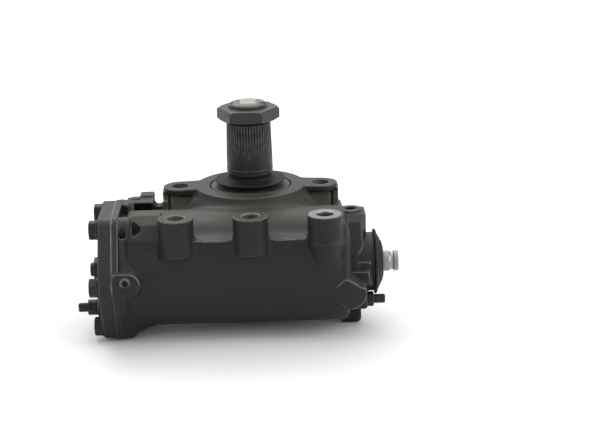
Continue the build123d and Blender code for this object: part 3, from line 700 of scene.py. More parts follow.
def rubber(name, base=0.007):
    n = Nodes(name)
    big = n.noise(45, 3, 0.5)
    fine = n.noise(1300, 2, 0.5)
    col = n.ramp(big, [(0.3, (base, base, base * 1.03)), (0.75, (base * 1.7, base * 1.7, base * 1.7))])
    # standing edges painted lighter, partly wear and partly painted highlight; hollows painted darker, painted shade
    col = edges(n, col, 0.45, (0.06, 0.06, 0.058), 0.5, 0.8)
    r = n.span(big, 0.3, 0.7, 0.50, 0.64)
    return n.set(Base_Color=col, Roughness=r, Normal=n.bump(fine, 0.00003, 0.5), Specular_IOR_Level=0.2)


def steel(name, tone=(0.33, 0.325, 0.315), rough=(0.30, 0.44), axis=0, lines=1400.0, stain=0.6):
    """Turned or ground bare steel with a fine lay across its axis."""
    n = Nodes(name)
    stretch = [4.0, 4.0, 4.0]
    stretch[axis] = lines
    ring = n.noise(1.0, 3, 0.6, stretch=tuple(stretch))
    blot = n.noise(120, 4, 0.65)
    col = n.mix(n.span(blot, 0.5, 0.75, 0.0, stain), tone, tuple(t * 0.45 for t in tone))
    r = n.math("ADD", n.span(ring, 0.3, 0.7, rough[0], rough[1]), n.span(blot, 0.4, 0.8, 0.0, 0.12))
    return n.set(Base_Color=col, Roughness=r, Metallic=1.0, Normal=n.bump(ring, 0.00002, 0.5))


def bronze_plastic(name):
    n = Nodes(name)
    f = n.noise(400, 3, 0.5)
    return n.set(Base_Color=n.ramp(f, [(0.3, (0.17, 0.085, 0.04)), (0.7, (0.22, 0.12, 0.06))]), Roughness=n.span(f, 0.3, 0.7, 0.4, 0.55))


def pale_floor(name):
    n = Nodes(name)
    f = n.noise(3, 3, 0.5)
    fine = n.noise(300, 2, 0.5)
    return n.set(Base_Color=n.ramp(f, [(0.3, (0.86, 0.86, 0.86)), (0.7, (0.88, 0.88, 0.875))]), Roughness=n.span(fine, 0.3, 0.7, 0.7, 0.8), Specular_IOR_Level=0.2)


# the boxes given last below paint the shaded walls under the rear bosses lighter: painted light
M_CAST = painted_casting("cast_paint", worn=[(0.080, -0.064, 0.0, 0.0112, 0.0004, 0.95), (0.080, -0.064, 0.0, 0.0178, 0.0009, 0.62),
                                             (-0.080, -0.064, 0.0, 0.0104, 0.0004, 0.35), (0.0, -0.064, 0.0, 0.0104, 0.0004, 0.45)],
                         painted_light_film=[(((-0.1005, -0.050), (0.036, 0.0545), (-0.034, -0.0085)), 0.85, (0.080, 0.079, 0.064)),
                               (((0.050, 0.0900), (0.036, 0.0545), (-0.034, -0.0095)), 0.75, (0.066, 0.066, 0.056)),
                               (((0.0935, 0.1005), (0.036, 0.0545), (-0.034, -0.0095)), 0.6, (0.060, 0.060, 0.052))])
M_COVER = painted_casting("cover_paint")
M_SMOOTH = painted_smooth("shaft_paint", (0.0105, 0.0105, 0.0105), (0.016, 0.016, 0.0152), (0.36, 0.48), 2, 900.0, 0.6,
                          ((-0.0088, 0.0086), (0.0553, 0.0788), (0.0925, 0.0958)), 0.0925, 0.97, 1.0)
M_NUT = painted_smooth("nut_paint", (0.027, 0.027, 0.0240), (0.036, 0.036, 0.031), (0.36, 0.48), 2, 500.0, 0.35)
M_RETAINER = painted_smooth("retainer_paint", (0.022, 0.022, 0.021), (0.030, 0.0295, 0.028), (0.4, 0.5), 2, 900.0, 0.5)
# joint line: light paint partly a painted highlight, turned to painted shade below z -74.5 mm
M_BEAD = line_paint("joint_paint", (0.17, 0.17, 0.16), (0.24, 0.24, 0.225), -0.0745)
# painted highlights: the light paint of the lines laid on the casting's edges
M_EDGE_HIGHLIGHT = line_paint("edge_highlight_paint", (0.11, 0.11, 0.102), (0.17, 0.17, 0.158), -0.2)
M_FAST = black_fastener("black_fastener")
M_RUBBER = rubber("dust_rubber")
M_SEAL = rubber("seal_rubber", 0.010)
M_BRIGHT = steel("input_steel")
M_GROUND = steel("ground_steel", (0.45, 0.45, 0.45), (0.22, 0.36), 0, 900.0, 0.25)
M_BEARING = steel("bearing_steel", (0.62, 0.62, 0.62), (0.12, 0.22), 2, 600.0, 0.12)
M_BORE = steel("bored_iron", (0.24, 0.235, 0.23), (0.3, 0.45), 0, 1200.0, 0.4)
M_THREAD = steel("threaded_iron", (0.13, 0.13, 0.12), (0.4, 0.55), 2, 1200.0, 0.4)
M_RING = bronze_plastic("ring_plastic")

NODE_LOOK = {
    "sector_shaft": M_SMOOTH, "pitman_nut": M_NUT, "seal_retainer": M_RETAINER,
    "sector_dust_cap": M_RUBBER, "input_dust_cover": M_RUBBER, "input_shaft": M_BRIGHT,
    "sector_seal": M_SEAL, "input_seal": M_SEAL, "cylinder_cover_seal": M_SEAL, "side_cover_seal": M_SEAL,
    "piston_ring": M_RING, "valve_sleeve_rings": M_RING,
    "rack_piston": M_GROUND, "worm_shaft": M_GROUND, "valve_sleeve": M_GROUND,
}
for n in ("cylinder_cover_bolts", "side_cover_bolts", "limit_screw_left", "limit_screw_right", "limit_nut_left", "limit_nut_right",
          "cover_plug", "adjusting_screw", "adjusting_lock_nut", "passage_plug"):
    NODE_LOOK[n] = M_FAST
for n, o in NODES.items():
    o.data.materials.clear()
    o.data.materials.append(NODE_LOOK.get(n, M_BEARING))

# ================================================================== housing
H = 1.15


def bolt_yz(k, ring=64.0):
    a = math.radians(60 * k)
    return YP - ring * math.cos(a), ZP + ring * math.sin(a)


def make_housing():
    f = Field((-154, -96, -148), (139, 130, 4), H)
    f.add(cyl("x", 63.5, -136.5, 104, YP, ZP, 5))
    f.cut(box(-137, 97, -90, 60, -160, -135.4, 0), 3)
    f.add(cyl("x", 58.5, -148, -130, YP, ZP, 1), 2)
    # flat front wall under the ledge, the deck above it
    f.add(prism("x", [(-68, -26.5), (-73.3, -64), (-73.3, -73.2), (-10, -73.2), (45, -73.2), (83, -60), (83, -27), (30, -20), (-10, -21)], -99, 88, 3, 6), 5)
    f.add(prism("x", [(-58, -26), (-62, -60), (-10, -73.2), (45, -73.2), (83, -60), (83, -27), (30, -20), (-10, -21)], 80, 104, 3, 4), 5)
    # raised lip along the ledge, and the mould's flash under the barrel
    f.add(capsule([(-60, -68.0, -26.3), (-19, -68.2, -27.0)], 1.5), 1.6)
    f.add(capsule([(19, -68.2, -27.0), (58, -68.0, -26.6)], 1.5), 1.6)
    f.add(capsule([(-112, -14, -133.9), (-100, -13, -134.5), (-88, -15, -133.8), (-74, -14, -134.4), (-62, -14, -133.6)], 2.0), 1.6)
    # tower with its flare
    flare = turned([(0, -96), (60.8, -96), (66, -70), (88, -44), (84, -26), (73, -15), (65, -6), (61.5, -1.5), (60.5, 0), (0, 0)], SX, SY)
    limit = prism("z", [(-90, -30), (90, -30), (90, 62), (74, 90), (44, 111), (16, 126), (-16, 126), (-44, 111), (-74, 90), (-90, 62)], -97, 1, 8, 4)
    f.add(both(flare, limit, 5), 5)
    f.add(cyl("z", 60.5, -129, 0, SX, SY, 1.2), 6)
    f.add(cyl("z", 65.0, -129.2, -117, SX, SY, 2.5), 3)
    # webs from the rear bosses to the tower ring, recessed walls under them
    for s in (-1, 1):
        a, b = sorted((s * 50, s * 99.8))
        f.add(prism("x", [(51.0, -7), (42.0, -31), (42.0, -42), (80, -42), (80, -3), (51.0, -3)], a, b, 1, 2), 1.2)
        f.add(prism("z", [(s * 80, 82.5), (s * 80, 45.5), (s * 40, 50), (s * 40, 90)], -8, 0, 1, 2), 1.5)
    # mounting bosses
    for x, y, low, k in [(-80, -64, -41, 5), (0, -64, -41, 5), (80, -64, -34, 3), (-80, 64, -7, 1.2), (80, 64, -7, 1.2)]:
        f.add(cyl("z", 19.0, low, 0, x, y, 1.0), k)
    f.add(cyl("z", 8.0, -82, -30, 80.2, -64, 0, 19.6), 3)
    f.add(capsule([(88.5, -68.5, -34), (90.5, -66.5, -82)], 7.0), 2.5)
    f.add(capsule([(97.5, -60, -16), (100.0, -63.0, -82)], 6.6), 2.5)
    # cylinder head flange with its bolt columns
    f.add(lobes(14.5, 64.0, -150, -143, 1.0), 1.8)
    for k in range(6):
        y, z = bolt_yz(k)
        f.add(cyl("x", 13.0, -150, -130, y, z, 3), 2.0)
    f.add(prism("y", [(-150, FLOOR_Z), (-134.5, FLOOR_Z), (-131.8, -141.6), (-127.1, -136.0), (-123.5, -130.4), (-118.5, -127), (-118.5, -110), (-150, -110)], -42, 22, 1, 2.5), 3)
    # under the passage boss the flange slopes into the barrel, above it a round column stands in the groove
    f.add(both(sloped_lobes(11.5, 64.0, -148, -139, -108), prism("y", [(-150, -67), (-129, -67), (-118, -79), (-108, -98), (-108, -150), (-150, -150)], -100, -14, 2, 3), 5), 5)
    f.add(prism("x", [(-87.5, -60), (-87.5, -76), (-84.5, -83.5), (-69.5, -109.5), (-60, -109.5), (-60, -60)], -148, -135, 1, 3), 4)
    f.add(both(cyl("y", 11.0, -86.5, -66, -132.5, -71, 2, 17.0), box(-160, -100, -100, -60, -112, -73, 4), 4), 4)
    f.add(capsule([(-137.8, -53.0, -16), (-139.0, -73.2, -58)], 5.4), 1.4)
    f.add(capsule([(-134.0, -50.5, -18), (-134.6, -70.6, -60)], 5.0), 1.4)
    # upper left: wall behind the flange, the rear block with its undercut plate, the front shoulder
    f.add(prism("x", [(-66, -46), (-61, -26), (-50, -12), (-36, -4.5), (-24, -4.5), (-20, -9), (0, -10.5), (24, -18), (60, -31), (60, -60), (-66, -60)], -131, -97, 2, 4), 2.5)
    f.add(box(-146, -135, 8, 30, -40, -4.5, 2.0), 2.0)
    f.add(box(-137, -109.8, 50, 60, -40, -10, 2), 1.2)
    f.add(box(-113, -109.8, 46, 66, -40, -9, 1.5), 1.2)
    f.add(prism("y", [(-140, -9), (-130, -13.5), (-136, -27), (-136, -40), (-140, -40)], 26, 56, 1, 1.5), 1.2)
    f.add(box(-125.5, -109.8, 31, 66, -11.6, -9, 1.2), 1.0)
    f.add(box(-137, -125, 31, 41, -11.6, -9, 1.2), 1.0)
    f.add(box(-125.5, -109.8, 49, 66, -13, -6.4, 1.6), 1.0)
    # hollow saddle between that block and the rear left boss
    f.add(box(-113, -94, 46, 60, -40, -12.5, 1.5), 1.2)
    f.cut(cyl("y", 5.2, 36, 70, -104.4, -13.6, 0), 1.0)
    # valve end: end wall, port tower, neck with its pads
    f.add(prism("x", [(-62, -40), (-56, -22), (30, -22), (44, -60), (40, -100), (20, -125), (-40, -125), (-66, -104), (-66, -73.2)], 90, 106, 5, 4), 4)
    tower = both(prism("x", [(-30, -21.5), (-21, -14.5), (9, -14.5), (9, -62), (-47, -62), (-45, -52)], 98, 127.3, 1, 1.5),
                 prism("y", [(98, -12), (127.3, -12), (127.3, -38), (122.7, -46), (116.4, -55), (113, -64), (98, -64)], -50, 12, 1, 1), 2.0)
    f.add(both(tower, prism("z", [(98, -50), (123, -50), (121, -30), (127.3, -18), (127.3, 12), (98, 12)], -65, -10, 1, 1), 2.0), 2.0)
    f.add(box(98, 126.0, 8, 27, -72, -33, 3), 3)
    f.add(cyl("z", 12.0, -40, -11, 110, -8, 1.2), 1.5)
    f.add(cyl("x", 32.6, 100, 135, YP, ZP, 1.2), 2)
    f.add(cyl("x", 38, 100, 117, YP, ZP, 2), 2)
    f.add(box(112, 130.5, -46.0, -12, -90, -62.5, 1.4), 1.0)
    f.add(box(107.0, 127.8, -52.5, -12, -86, -71.5, 1.4), 0.8)
    plateau = prism("y", [(84, -89), (91, -80.6), (98.4, -72.5), (102.5, -71.8), (107.3, -74.7), (111.6, -76.8), (116.9, -81.2), (122.6, -82.6),
                          (123.8, -88), (122.7, -94), (119.5, -99.8), (112.3, -105.2), (105.7, -106.8), (99, -104), (92, -98.5), (85, -93)], -75.6, -15, 1.0, 1.2)
    f.add(both(plateau, prism("z", [(82, -72.4), (90, -73.8), (97, -75.2), (104, -75.6), (128, -74.6), (128, -15), (82, -15)], -114, -70, 1, 1), 1.0), 2.6)
    f.add(cyl("x", 11.2, 98, 126.5, -26, -111.8, 3.5), 3)
    f.add(prism("y", [(100, FLOOR_Z), (117, FLOOR_Z), (120.5, -140), (120.5, -100), (98, -100), (98, FLOOR_Z + 6)], -14, 12, 1.5, 3), 3)
    # front column of the flange with the passage boss on it
    f.add(cyl("y", 12.5, -87.5, -70, -131.5, -67, 2.2), 2.0)
    f.add(box(-149, -131.5, -87.5, -70, -79.5, -54.5, 2.2), 1.0)
    f.add(cyl("y", 6.2, -90.2, -70, -135.3, -64.2, 1.4), 1.2)
    # small casting marks on the deck
    f.add(capsule([(50.5, -33.5, -21.3), (55.5, -46.5, -23.6)], 1.6), 1.4)
    f.rough(16.0, 0.22, 11)
    f.rough(6.0, 0.09, 12)
    # machined faces
    f.cut(box(-160, 160, -120, 140, 0, 20, 0), 0.9)
    f.cut(box(-170, -150, -120, 140, -160, 20, 0), 0.3)
    f.cut(box(-160, 100, -120, 140, -160, FLOOR_Z, 0), 0.9)
    # bores
    f.cut(cyl("x", 50.4, -160, 92, YP, ZP, 0), 0.6)
    f.cut(cyl("z", 67.5, -160, -129, SX, SY, 0), 0.5)
    f.cut(cyl("z", 46.2, -131, -47, SX, SY, 0), 0.8)
    f.cut(cyl("z", 37.2, -50, -36, SX, SY, 0), 0.6)
    f.cut(cyl("z", 40.2, -36.5, -10, SX, SY, 0), 0.6)
    f.cut(cyl("z", 44.7, -16, 6, SX, SY, 0), 0.6)
    f.cut(cyl("z", 46.5, -5, 6, SX, SY, 0), 0.3)
    f.cut(cyl("x", 26.2, 80, 127, YP, ZP, 0), 0.6)
    f.cut(cyl("x", 17.1, 120, 140, YP, ZP, 0), 0.6)
    for x, y in [(-80, -64), (0, -64), (80, -64), (-80, 64), (80, 64)]:
        f.cut(cyl("z", 9.2, -30, 5, x, y, 0), 0.4)
        f.cut(cyl("z", 9.2, -0.8, 0.0, x, y, 0, 10.0), 0.3)
    for s in (-1, 1):
        a, b = sorted((s * 93.8, s * 90.6))
        f.cut(prism("x", [(44, -9), (53.6, -9), (45.5, -31), (36, -31)], a, b, 0.5, 1.0), 0.8)
    f.cut(prism("y", [(-128, -9), (-118.5, -13.5), (-119, -18.5), (-127, -23)], -75, -44, 1.5, 1), 1.2)
    f.cut(capsule([(-137.2, -56.0, 4), (-137.0, -57.0, -10), (-138.2, -57.2, -25)], 3.6), 1.6)
    f.cut(cyl("z", 13.0, -11, -4, 110, -8, 0), 0.5)
    f.cut(cyl("z", 6.2, -29, 5, 110, -8, 0), 0.6)
    f.cut(cyl("y", 7.2, 14, 40, 114, -56, 0), 0.6)
    f.cut(cyl("y", 3.0, -100, -79, -135.3, -64.2, 0), 0.8)
    for k in range(6):
        y, z = bolt_yz(k)
        f.cut(cyl("x", 6.1, -160, -133, y, z, 0), 0.3)
    for k in range(7):
        t = math.radians(-48 + 46 * k)
        f.cut(cyl("z", 5.1, -135, -118.5, SX + 56 * math.cos(t), SY + 56 * math.sin(t), 0), 0.3)
    f.cut(cyl("x", 5.1, 88, 140, -26, -111.8, 0), 0.3)
    return f.mesh("housing_casting")


def make_cover():
    h = min(H, 1.15)
    f = Field((-176, -92, -156), (-146, 72, 12), h)
    f.add(lobes(13.5, 64.0, -165, -140, 2.4))
    f.rough(14.0, 0.2, 21)
    f.rough(5.0, 0.08, 22)
    f.cut(cyl("x", 41, -180, -162.8, YP, ZP, 2.5), 2.5)
    f.add(cyl("x", 15.0, -165, -152, YP, ZP, 1.6), 2.5)
    for k in range(6):
        a = math.radians(60 * k + 30)
        y, z = YP - 28 * math.cos(a), ZP + 28 * math.sin(a)
        f.add(capsule([(-161.2, YP - 14 * math.cos(a), ZP + 14 * math.sin(a)), (-161.2, YP - 44 * math.cos(a), ZP + 44 * math.sin(a))], 2.4), 2.0)
    f.add(cyl("x", 11.5, -172, -152, -26, -111.8, 2.0), 3.0)
    f.cut(box(-150, -130, -120, 140, -170, 40, 0), 0.5)
    for k in range(6):
        y, z = bolt_yz(k)
        f.cut(cyl("x", 12.2, -180, -164.9, y, z, 0), 0.6)
        f.cut(cyl("x", 6.7, -180, -140, y, z, 0), 0.4)
    f.cut(cyl("x", 5.1, -180, -140, -26, -111.8, 0), 0.4)
    f.cut(cyl("x", 8.1, -180, -156, YP, ZP, 0), 0.4)
    return f.mesh("cover_casting")


def make_side_cover():
    h = min(H, 1.15)
    f = Field((-72, -8, -142), (72, 136, -100), h)
    f.add(cyl("z", 63.0, -138, -129, SX, SY, 1.8))
    for k in range(7):
        t = math.radians(-48 + 46 * k)
        f.add(cyl("z", 9.0, -138, -129, SX + 56 * math.cos(t), SY + 56 * math.sin(t), 1.2), 2.5)
    f.rough(14.0, 0.18, 31)
    f.add(cyl("z", 45.8, -130, -117.5, SX, SY, 0.8), 0)
    f.add(cyl("z", 33.2, -130, -104, SX, SY, 0.8), 0)
    f.cut(box(-90, 90, -20, 150, -160, -138.0, 0), 0.6)
    f.cut(cyl("z", 30.6, -127.5, -90, SX, SY, 0), 0.4)
    f.cut(cyl("z", 8.1, -160, -120, SX, SY, 0), 0.4)
    for k in range(7):
        t = math.radians(-48 + 46 * k)
        f.cut(cyl("z", 5.5, -160, -120, SX + 56 * math.cos(t), SY + 56 * math.sin(t), 0), 0.4)
    return f.mesh("side_cover_casting")


housing = make_housing()
cover = make_cover()
side = make_side_cover()
for piece, node, look in ((housing, "housing", M_CAST), (cover, "cylinder_cover", M_COVER), (side, "side_cover", M_COVER)):
    piece.data.materials.append(look)
    piece.data.materials.append(M_BORE)
    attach(piece, "gear_housing")
    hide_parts(node)


def bare(piece, test):
    """Gives the faces inside the bores the look of machined iron."""
    me = piece.data
    c = np.empty(len(me.polygons) * 3, np.float32)
    me.polygons.foreach_get("center", c)
    c = c.reshape(-1, 3) / MM
    me.polygons.foreach_set("material_index", test(c).astype(np.int32))
    me.update()


def in_housing_bores(c):
    rp = np.hypot(c[:, 1] - YP, c[:, 2] - ZP)
    rs = np.hypot(c[:, 0] - SX, c[:, 1] - SY)
    m = (rp < 51) & (c[:, 0] > -149.6) & (c[:, 0] < 93)
    m |= (rs < 46.6) & (c[:, 2] < -5.5) & (c[:, 2] > -128.8)
    m |= (rp < 26.8) & (c[:, 0] > 91) & (c[:, 0] < 128)
    return m


bare(housing, in_housing_bores)

# =============================================================== small parts
FINE = 0.42
LIM_Y, LIM_Z = -26.0, -111.8
TOP = 95.2


def piece(o, node, body, look, where):
    o.data.materials.append(look)
    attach(o, body)
    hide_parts(node)
    return o


def make_nut():
    f = Field((-38, 26, 73), (38, 102, 93), FINE)
    rim = spun("z", [(0, 75.6), (29.8, 75.6), (36.2, 77.9), (36.2, 90.2), (0, 90.2)], SX, SY, 0.4)
    f.add(both(hexagon("z", 62.0, 75.6, 90.2, SX, SY, -4.7, 1.0, 2.4), rim, 0.6))
    f.rough(7.0, 0.05, 41)
    f.cut(cyl("z", 21.35, 70, 96, SX, SY, 0), 0.5)
    f.cut(cyl("z", 21.35, 89.0, 90.4, SX, SY, 0, 22.9), 0.3)
    return f.mesh("pitman_hex_nut")


def make_shaft():
    step = 0.4
    f = Field((-30, 34, -8), (30, 94, 97), step)
    prof = [(0, -20), (28, -20), (28.0, -3.0), (26.4, -1.2), (23.2, 0.6), (23.2, 7.0), (24.4, 12.6), (25.7, 14.0), (26.1, 14.8), (26.1, 18.9), (26.5, 19.5), (26.5, 20.2), (26.1, 20.8),
            (26.1, 30.0), (25.0, 72.0), (24.2, 72.8), (20.2, 72.8), (20.2, 73.6), (21.0, 74.4), (21.0, TOP - 1.6), (19.2, TOP), (0, TOP)]
    f.add(spun("z", prof, SX, SY, 0.3, ((88.5, TOP + 2, 1.5, 0.75),),
               ((48, [(-20, 0.0), (30, 0.0), (33, 0.25), (42, 1.0), (56.0, 1.45), (72.0, 1.6), (72.9, 1.6), (73.0, 0.0), (120, 0.0)]),)), m=6)
    # pocket and notches in the top end, worn round their rims
    f.cut(box(-8.5, 8.3, SY - 8.5, SY + 14.5, TOP - 1.75, TOP + 6, 1.0), 0.5)
    f.cut(box(-22, -17.0, SY - 4, SY + 4, TOP - 2.6, TOP + 6, 0.6), 0.5)
    f.cut(box(13.0, 22, SY - 8.5, SY - 2.5, TOP - 2.6, TOP + 6, 0.6), 0.5)
    f.cut(box(-60, 60, 0, 130, -30, -5.0, 0), 0)
    return f.mesh("output_shaft_end")


def lower_shaft():
    """The rest of the shaft, under the seal: the CAD node's own mesh, cut level inside the seal."""
    o = bpy.data.objects.new("output_shaft_sector", NODES["sector_shaft"].data.copy())
    scene_.collection.objects.link(o)
    bm = bmesh.new()
    bm.from_mesh(o.data)
    bmesh.ops.remove_doubles(bm, verts=bm.verts, dist=2e-6)
    cut = bmesh.ops.bisect_plane(bm, geom=bm.verts[:] + bm.edges[:] + bm.faces[:], plane_co=(0, 0, -0.005), plane_no=(0, 0, 1), clear_outer=True)
    rim = [e for e in cut["geom_cut"] if isinstance(e, bmesh.types.BMEdge)]
    bmesh.ops.contextual_create(bm, geom=rim)
    bm.to_mesh(o.data)
    bm.free()
    o.data.materials.clear()
    return o


def make_dust_cap():
    f = Field((-42, 22, 0.5), (42, 106, 13), FINE)
    prof = [(22.6, 2.2), (30.0, 2.0), (34.0, 2.8), (39.2, 4.9), (40.0, 5.7), (39.6, 6.7), (34.0, 7.1), (28.5, 7.8), (25.6, 9.2), (24.2, 10.6), (22.6, 10.9)]
    f.add(spun("z", prof, SX, SY, 0.45), m=4)
    f.cut(cyl("z", 23.2, 0, 14, SX, SY, 0), 0.3)
    return f.mesh("output_dust_cap")


def make_input_cover():
    f = Field((133.5, YP - 38, ZP - 38), (146.5, YP + 38, ZP + 38), FINE)
    prof = [(10.0, 136.0), (14.5, 135.5), (27.0, 136.5), (32.9, 135.6), (34.2, 134.8), (35.6, 134.7), (36.3, 135.6), (36.1, 136.9), (34.0, 138.0),
            (31.0, 138.4), (30.2, 139.6), (27.6, 140.4), (26.8, 141.5), (23.6, 142.4), (22.6, 143.6), (17.0, 145.2), (15.6, 144.3), (12.2, 144.3), (10.0, 144.9)]
    f.add(spun("x", prof, YP, ZP, 0.4), m=4)
    f.cut(cyl("x", 11.02, 130, 150, YP, ZP, 0), 0.3)
    return f.mesh("input_dust_boot")


def make_input_shaft():
    f = Field((108.5, YP - 16, ZP - 16), (163.5, YP + 16, ZP + 16), 0.34)
    prof = [(0, 110.0), (14.94, 110.0), (14.94, 126.4), (12.4, 126.4), (11.0, 127.6), (11.0, 146.2), (11.4, 146.6), (11.4, 151.6), (10.6, 152.6), (9.9, 153.6), (9.7, 154.8),
            (9.9, 156.0), (10.7, 156.9), (11.45, 157.5), (11.45, 161.2), (10.5, 162.3), (0, 162.3)]
    f.add(spun("x", prof, YP, ZP, 0.2, (), ((36, [(100, 0.0), (146.0, 0.0), (146.5, 0.6), (151.0, 0.6), (153.0, 0.0), (156.5, 0.0), (157.4, 0.65), (170, 0.65)]),)), m=4)
    f.cut(cyl("x", 4.9, 100, 141, YP, ZP, 0), 0.3)
    f.cut(cyl("x", 6.5, 100, 124, YP, ZP, 0), 0.3)
    f.cut(cyl("x", 2.0, 158.5, 162.5, YP, ZP, 0, 4.3), 0.3)
    f.cut(cyl("x", 4.3, 162.3, 166, YP, ZP, 0), 0.1)
    for k in range(6):
        a = math.radians(60 * k + 30)
        y, z = YP + 13.6 * math.cos(a), ZP + 13.6 * math.sin(a)
        f.cut(capsule([(113, y + 0.8 * math.cos(a), z + 0.8 * math.sin(a)), (122.5, y + 0.8 * math.cos(a), z + 0.8 * math.sin(a))], 1.6), 0.3)
    return f.mesh("input_stub")


def make_cover_bolts():
    out = []
    for k, turn in enumerate((30, 0, 4, 21, 38, 55)):
        y, z = bolt_yz(k)
        f = Field((-176, y - 12.5, z - 12.5), (-133, y + 12.5, z + 12.5), 0.5)
        f.add(cyl("x", 5.95, -166, -134.5, y, z, 1.0))
        f.add(cyl("x", 11.0, -166.6, -164.95, y, z, 0.5))
        f.add(cyl("x", 8.6, -168.4, -166.2, y, z, 0, 11.2), 0.3)
        f.add(hexagon("x", 19.0, -175.0, -165.6, y, z, turn, 0.8, 0, 0.9), 0.7)
        f.cut(cyl("x", 6.4, -175.6, -174.3, y, z, 0.3), 0.8)
        out.append(f.surface())
    return join("cover_bolt_set", out)


def make_plug():
    f = Field((-181, YP - 15, ZP - 15), (-155.5, YP + 15, ZP + 15), FINE)
    f.add(cyl("x", 7.95, -166, -157, YP, ZP, 0.8))
    f.add(cyl("x", 13.2, -171, -164.95, YP, ZP, 1.2), 0.2)
    f.add(hexagon("x", 24.0, -175.4, -170.5, YP, ZP, 12, 0.8, 0, 0.8), 0.3)
    f.add(cyl("x", 7.6, -179.4, -174, YP, ZP, 1.2), 0.6)
    f.cut(hexagon("x", 8.0, -184, -173.5, YP, ZP, 0, 0.2), 0.3)
    return f.mesh("centre_plug")


def make_limit_screws():
    c = (LIM_Y, LIM_Z)
    f = Field((-196, LIM_Y - 6.5, LIM_Z - 6.5), (-149, LIM_Y + 6.5, LIM_Z + 6.5), 0.4)
    f.add(spun("x", [(0, -193.6), (4.2, -193.6), (5.3, -192.2), (5.3, -184), (5.0, -183), (5.0, -150.1), (0, -150.1)], *c, 0.2, ((-194, -150, 1.5, 0.6),)), m=4)
    f.cut(box(-199, -192.0, LIM_Y - 9, LIM_Y + 9, LIM_Z - 0.8, LIM_Z + 0.8, 0.1), 0.2)
    a = f.mesh("left_stop_screw")
    f = Field((90.5, LIM_Y - 6.5, LIM_Z - 6.5), (147.5, LIM_Y + 6.5, LIM_Z + 6.5), 0.4)
    f.add(spun("x", [(0, 92.1), (4.95, 92.1), (5.0, 134), (5.4, 135), (5.4, 144.9), (4.2, 146.3), (0, 146.3)], *c, 0.2, ((126, 146.5, 1.5, 0.6),)), m=4)
    f.cut(box(144.6, 150, LIM_Y - 9, LIM_Y + 9, LIM_Z - 0.8, LIM_Z + 0.8, 0.1), 0.2)
    b = f.mesh("right_stop_screw")
    f = Field((-184.5, LIM_Y - 11, LIM_Z - 11), (-170.5, LIM_Y + 11, LIM_Z + 11), FINE)
    f.add(hexagon("x", 15.5, -183.0, -172.0, *c, 3, 0.7, 0.5, 0.9))
    f.cut(cyl("x", 5.05, -190, -160, *c, 0), 0.4)
    n1 = f.mesh("left_stop_nut")
    f = Field((125, LIM_Y - 11, LIM_Z - 11), (135, LIM_Y + 11, LIM_Z + 11), FINE)
    f.add(hexagon("x", 15.0, 126.5, 133.6, *c, 0, 0.7, 0.9, 0.5))
    f.cut(cyl("x", 5.05, 120, 140, *c, 0), 0.4)
    return a, b, n1, f.mesh("right_stop_nut")


def make_joint_bead():
    """Thin line of light paint along the cover's joint: paint gathered there, and partly a painted highlight of the
    joint's edge.
    """
    ring = []
    corners = [(YP - 64.0 * math.cos(math.radians(60 * k)), ZP + 64.0 * math.sin(math.radians(60 * k)), 60 * k) for k in range(6)]
    for y, z, k in corners:
        for j in range(-30, 31, 3):
            a = math.radians(k + j)
            ring.append((y - 13.55 * math.cos(a), z + 13.55 * math.sin(a)))
    pts = []
    for i in range(len(ring)):
        p, q = np.array(ring[i]), np.array(ring[(i + 1) % len(ring)])
        count = max(1, int(np.linalg.norm(q - p) / 2.0))
        pts += [tuple(p + (q - p) * t / count) for t in range(count)]
    pts = np.array(pts)
    nxt, prv = np.roll(pts, -1, 0), np.roll(pts, 1, 0)
    t = nxt - prv
    t /= np.linalg.norm(t, axis=1)[:, None]
    out = np.stack([-t[:, 1], t[:, 0]], 1)
    centre = pts.mean(0)
    out *= np.sign(((pts - centre) * out).sum(1))[:, None]
    rng = np.random.default_rng(51)
    wob = rng.uniform(0.75, 1.1, len(pts))
    wob = (wob + np.roll(wob, 1) + np.roll(wob, -1)) / 3
    n, m = len(pts), 8
    v = np.zeros((n, m, 3))
    for j in range(m):
        a = 2 * math.pi * j / m
        r_ = 0.62 * wob
        v[:, j, 0] = -150.05 + math.cos(a) * r_
        v[:, j, 1] = pts[:, 0] + out[:, 0] * math.sin(a) * r_ * 0.8
        v[:, j, 2] = pts[:, 1] + out[:, 1] * math.sin(a) * r_ * 0.8
    i, j = np.meshgrid(np.arange(n), np.arange(m), indexing="ij")
    i2, j2 = (i + 1) % n, (j + 1) % m
    q = np.stack([i * m + j, i2 * m + j, i2 * m + j2, i * m + j2], -1).reshape(-1, 4)
    o = build("joint_paint_line", v.reshape(-1, 3) * MM, q)
    bm = bmesh.new()
    bm.from_mesh(o.data)
    bmesh.ops.recalc_face_normals(bm, faces=bm.faces)
    bm.to_mesh(o.data)
    bm.free()
    return o


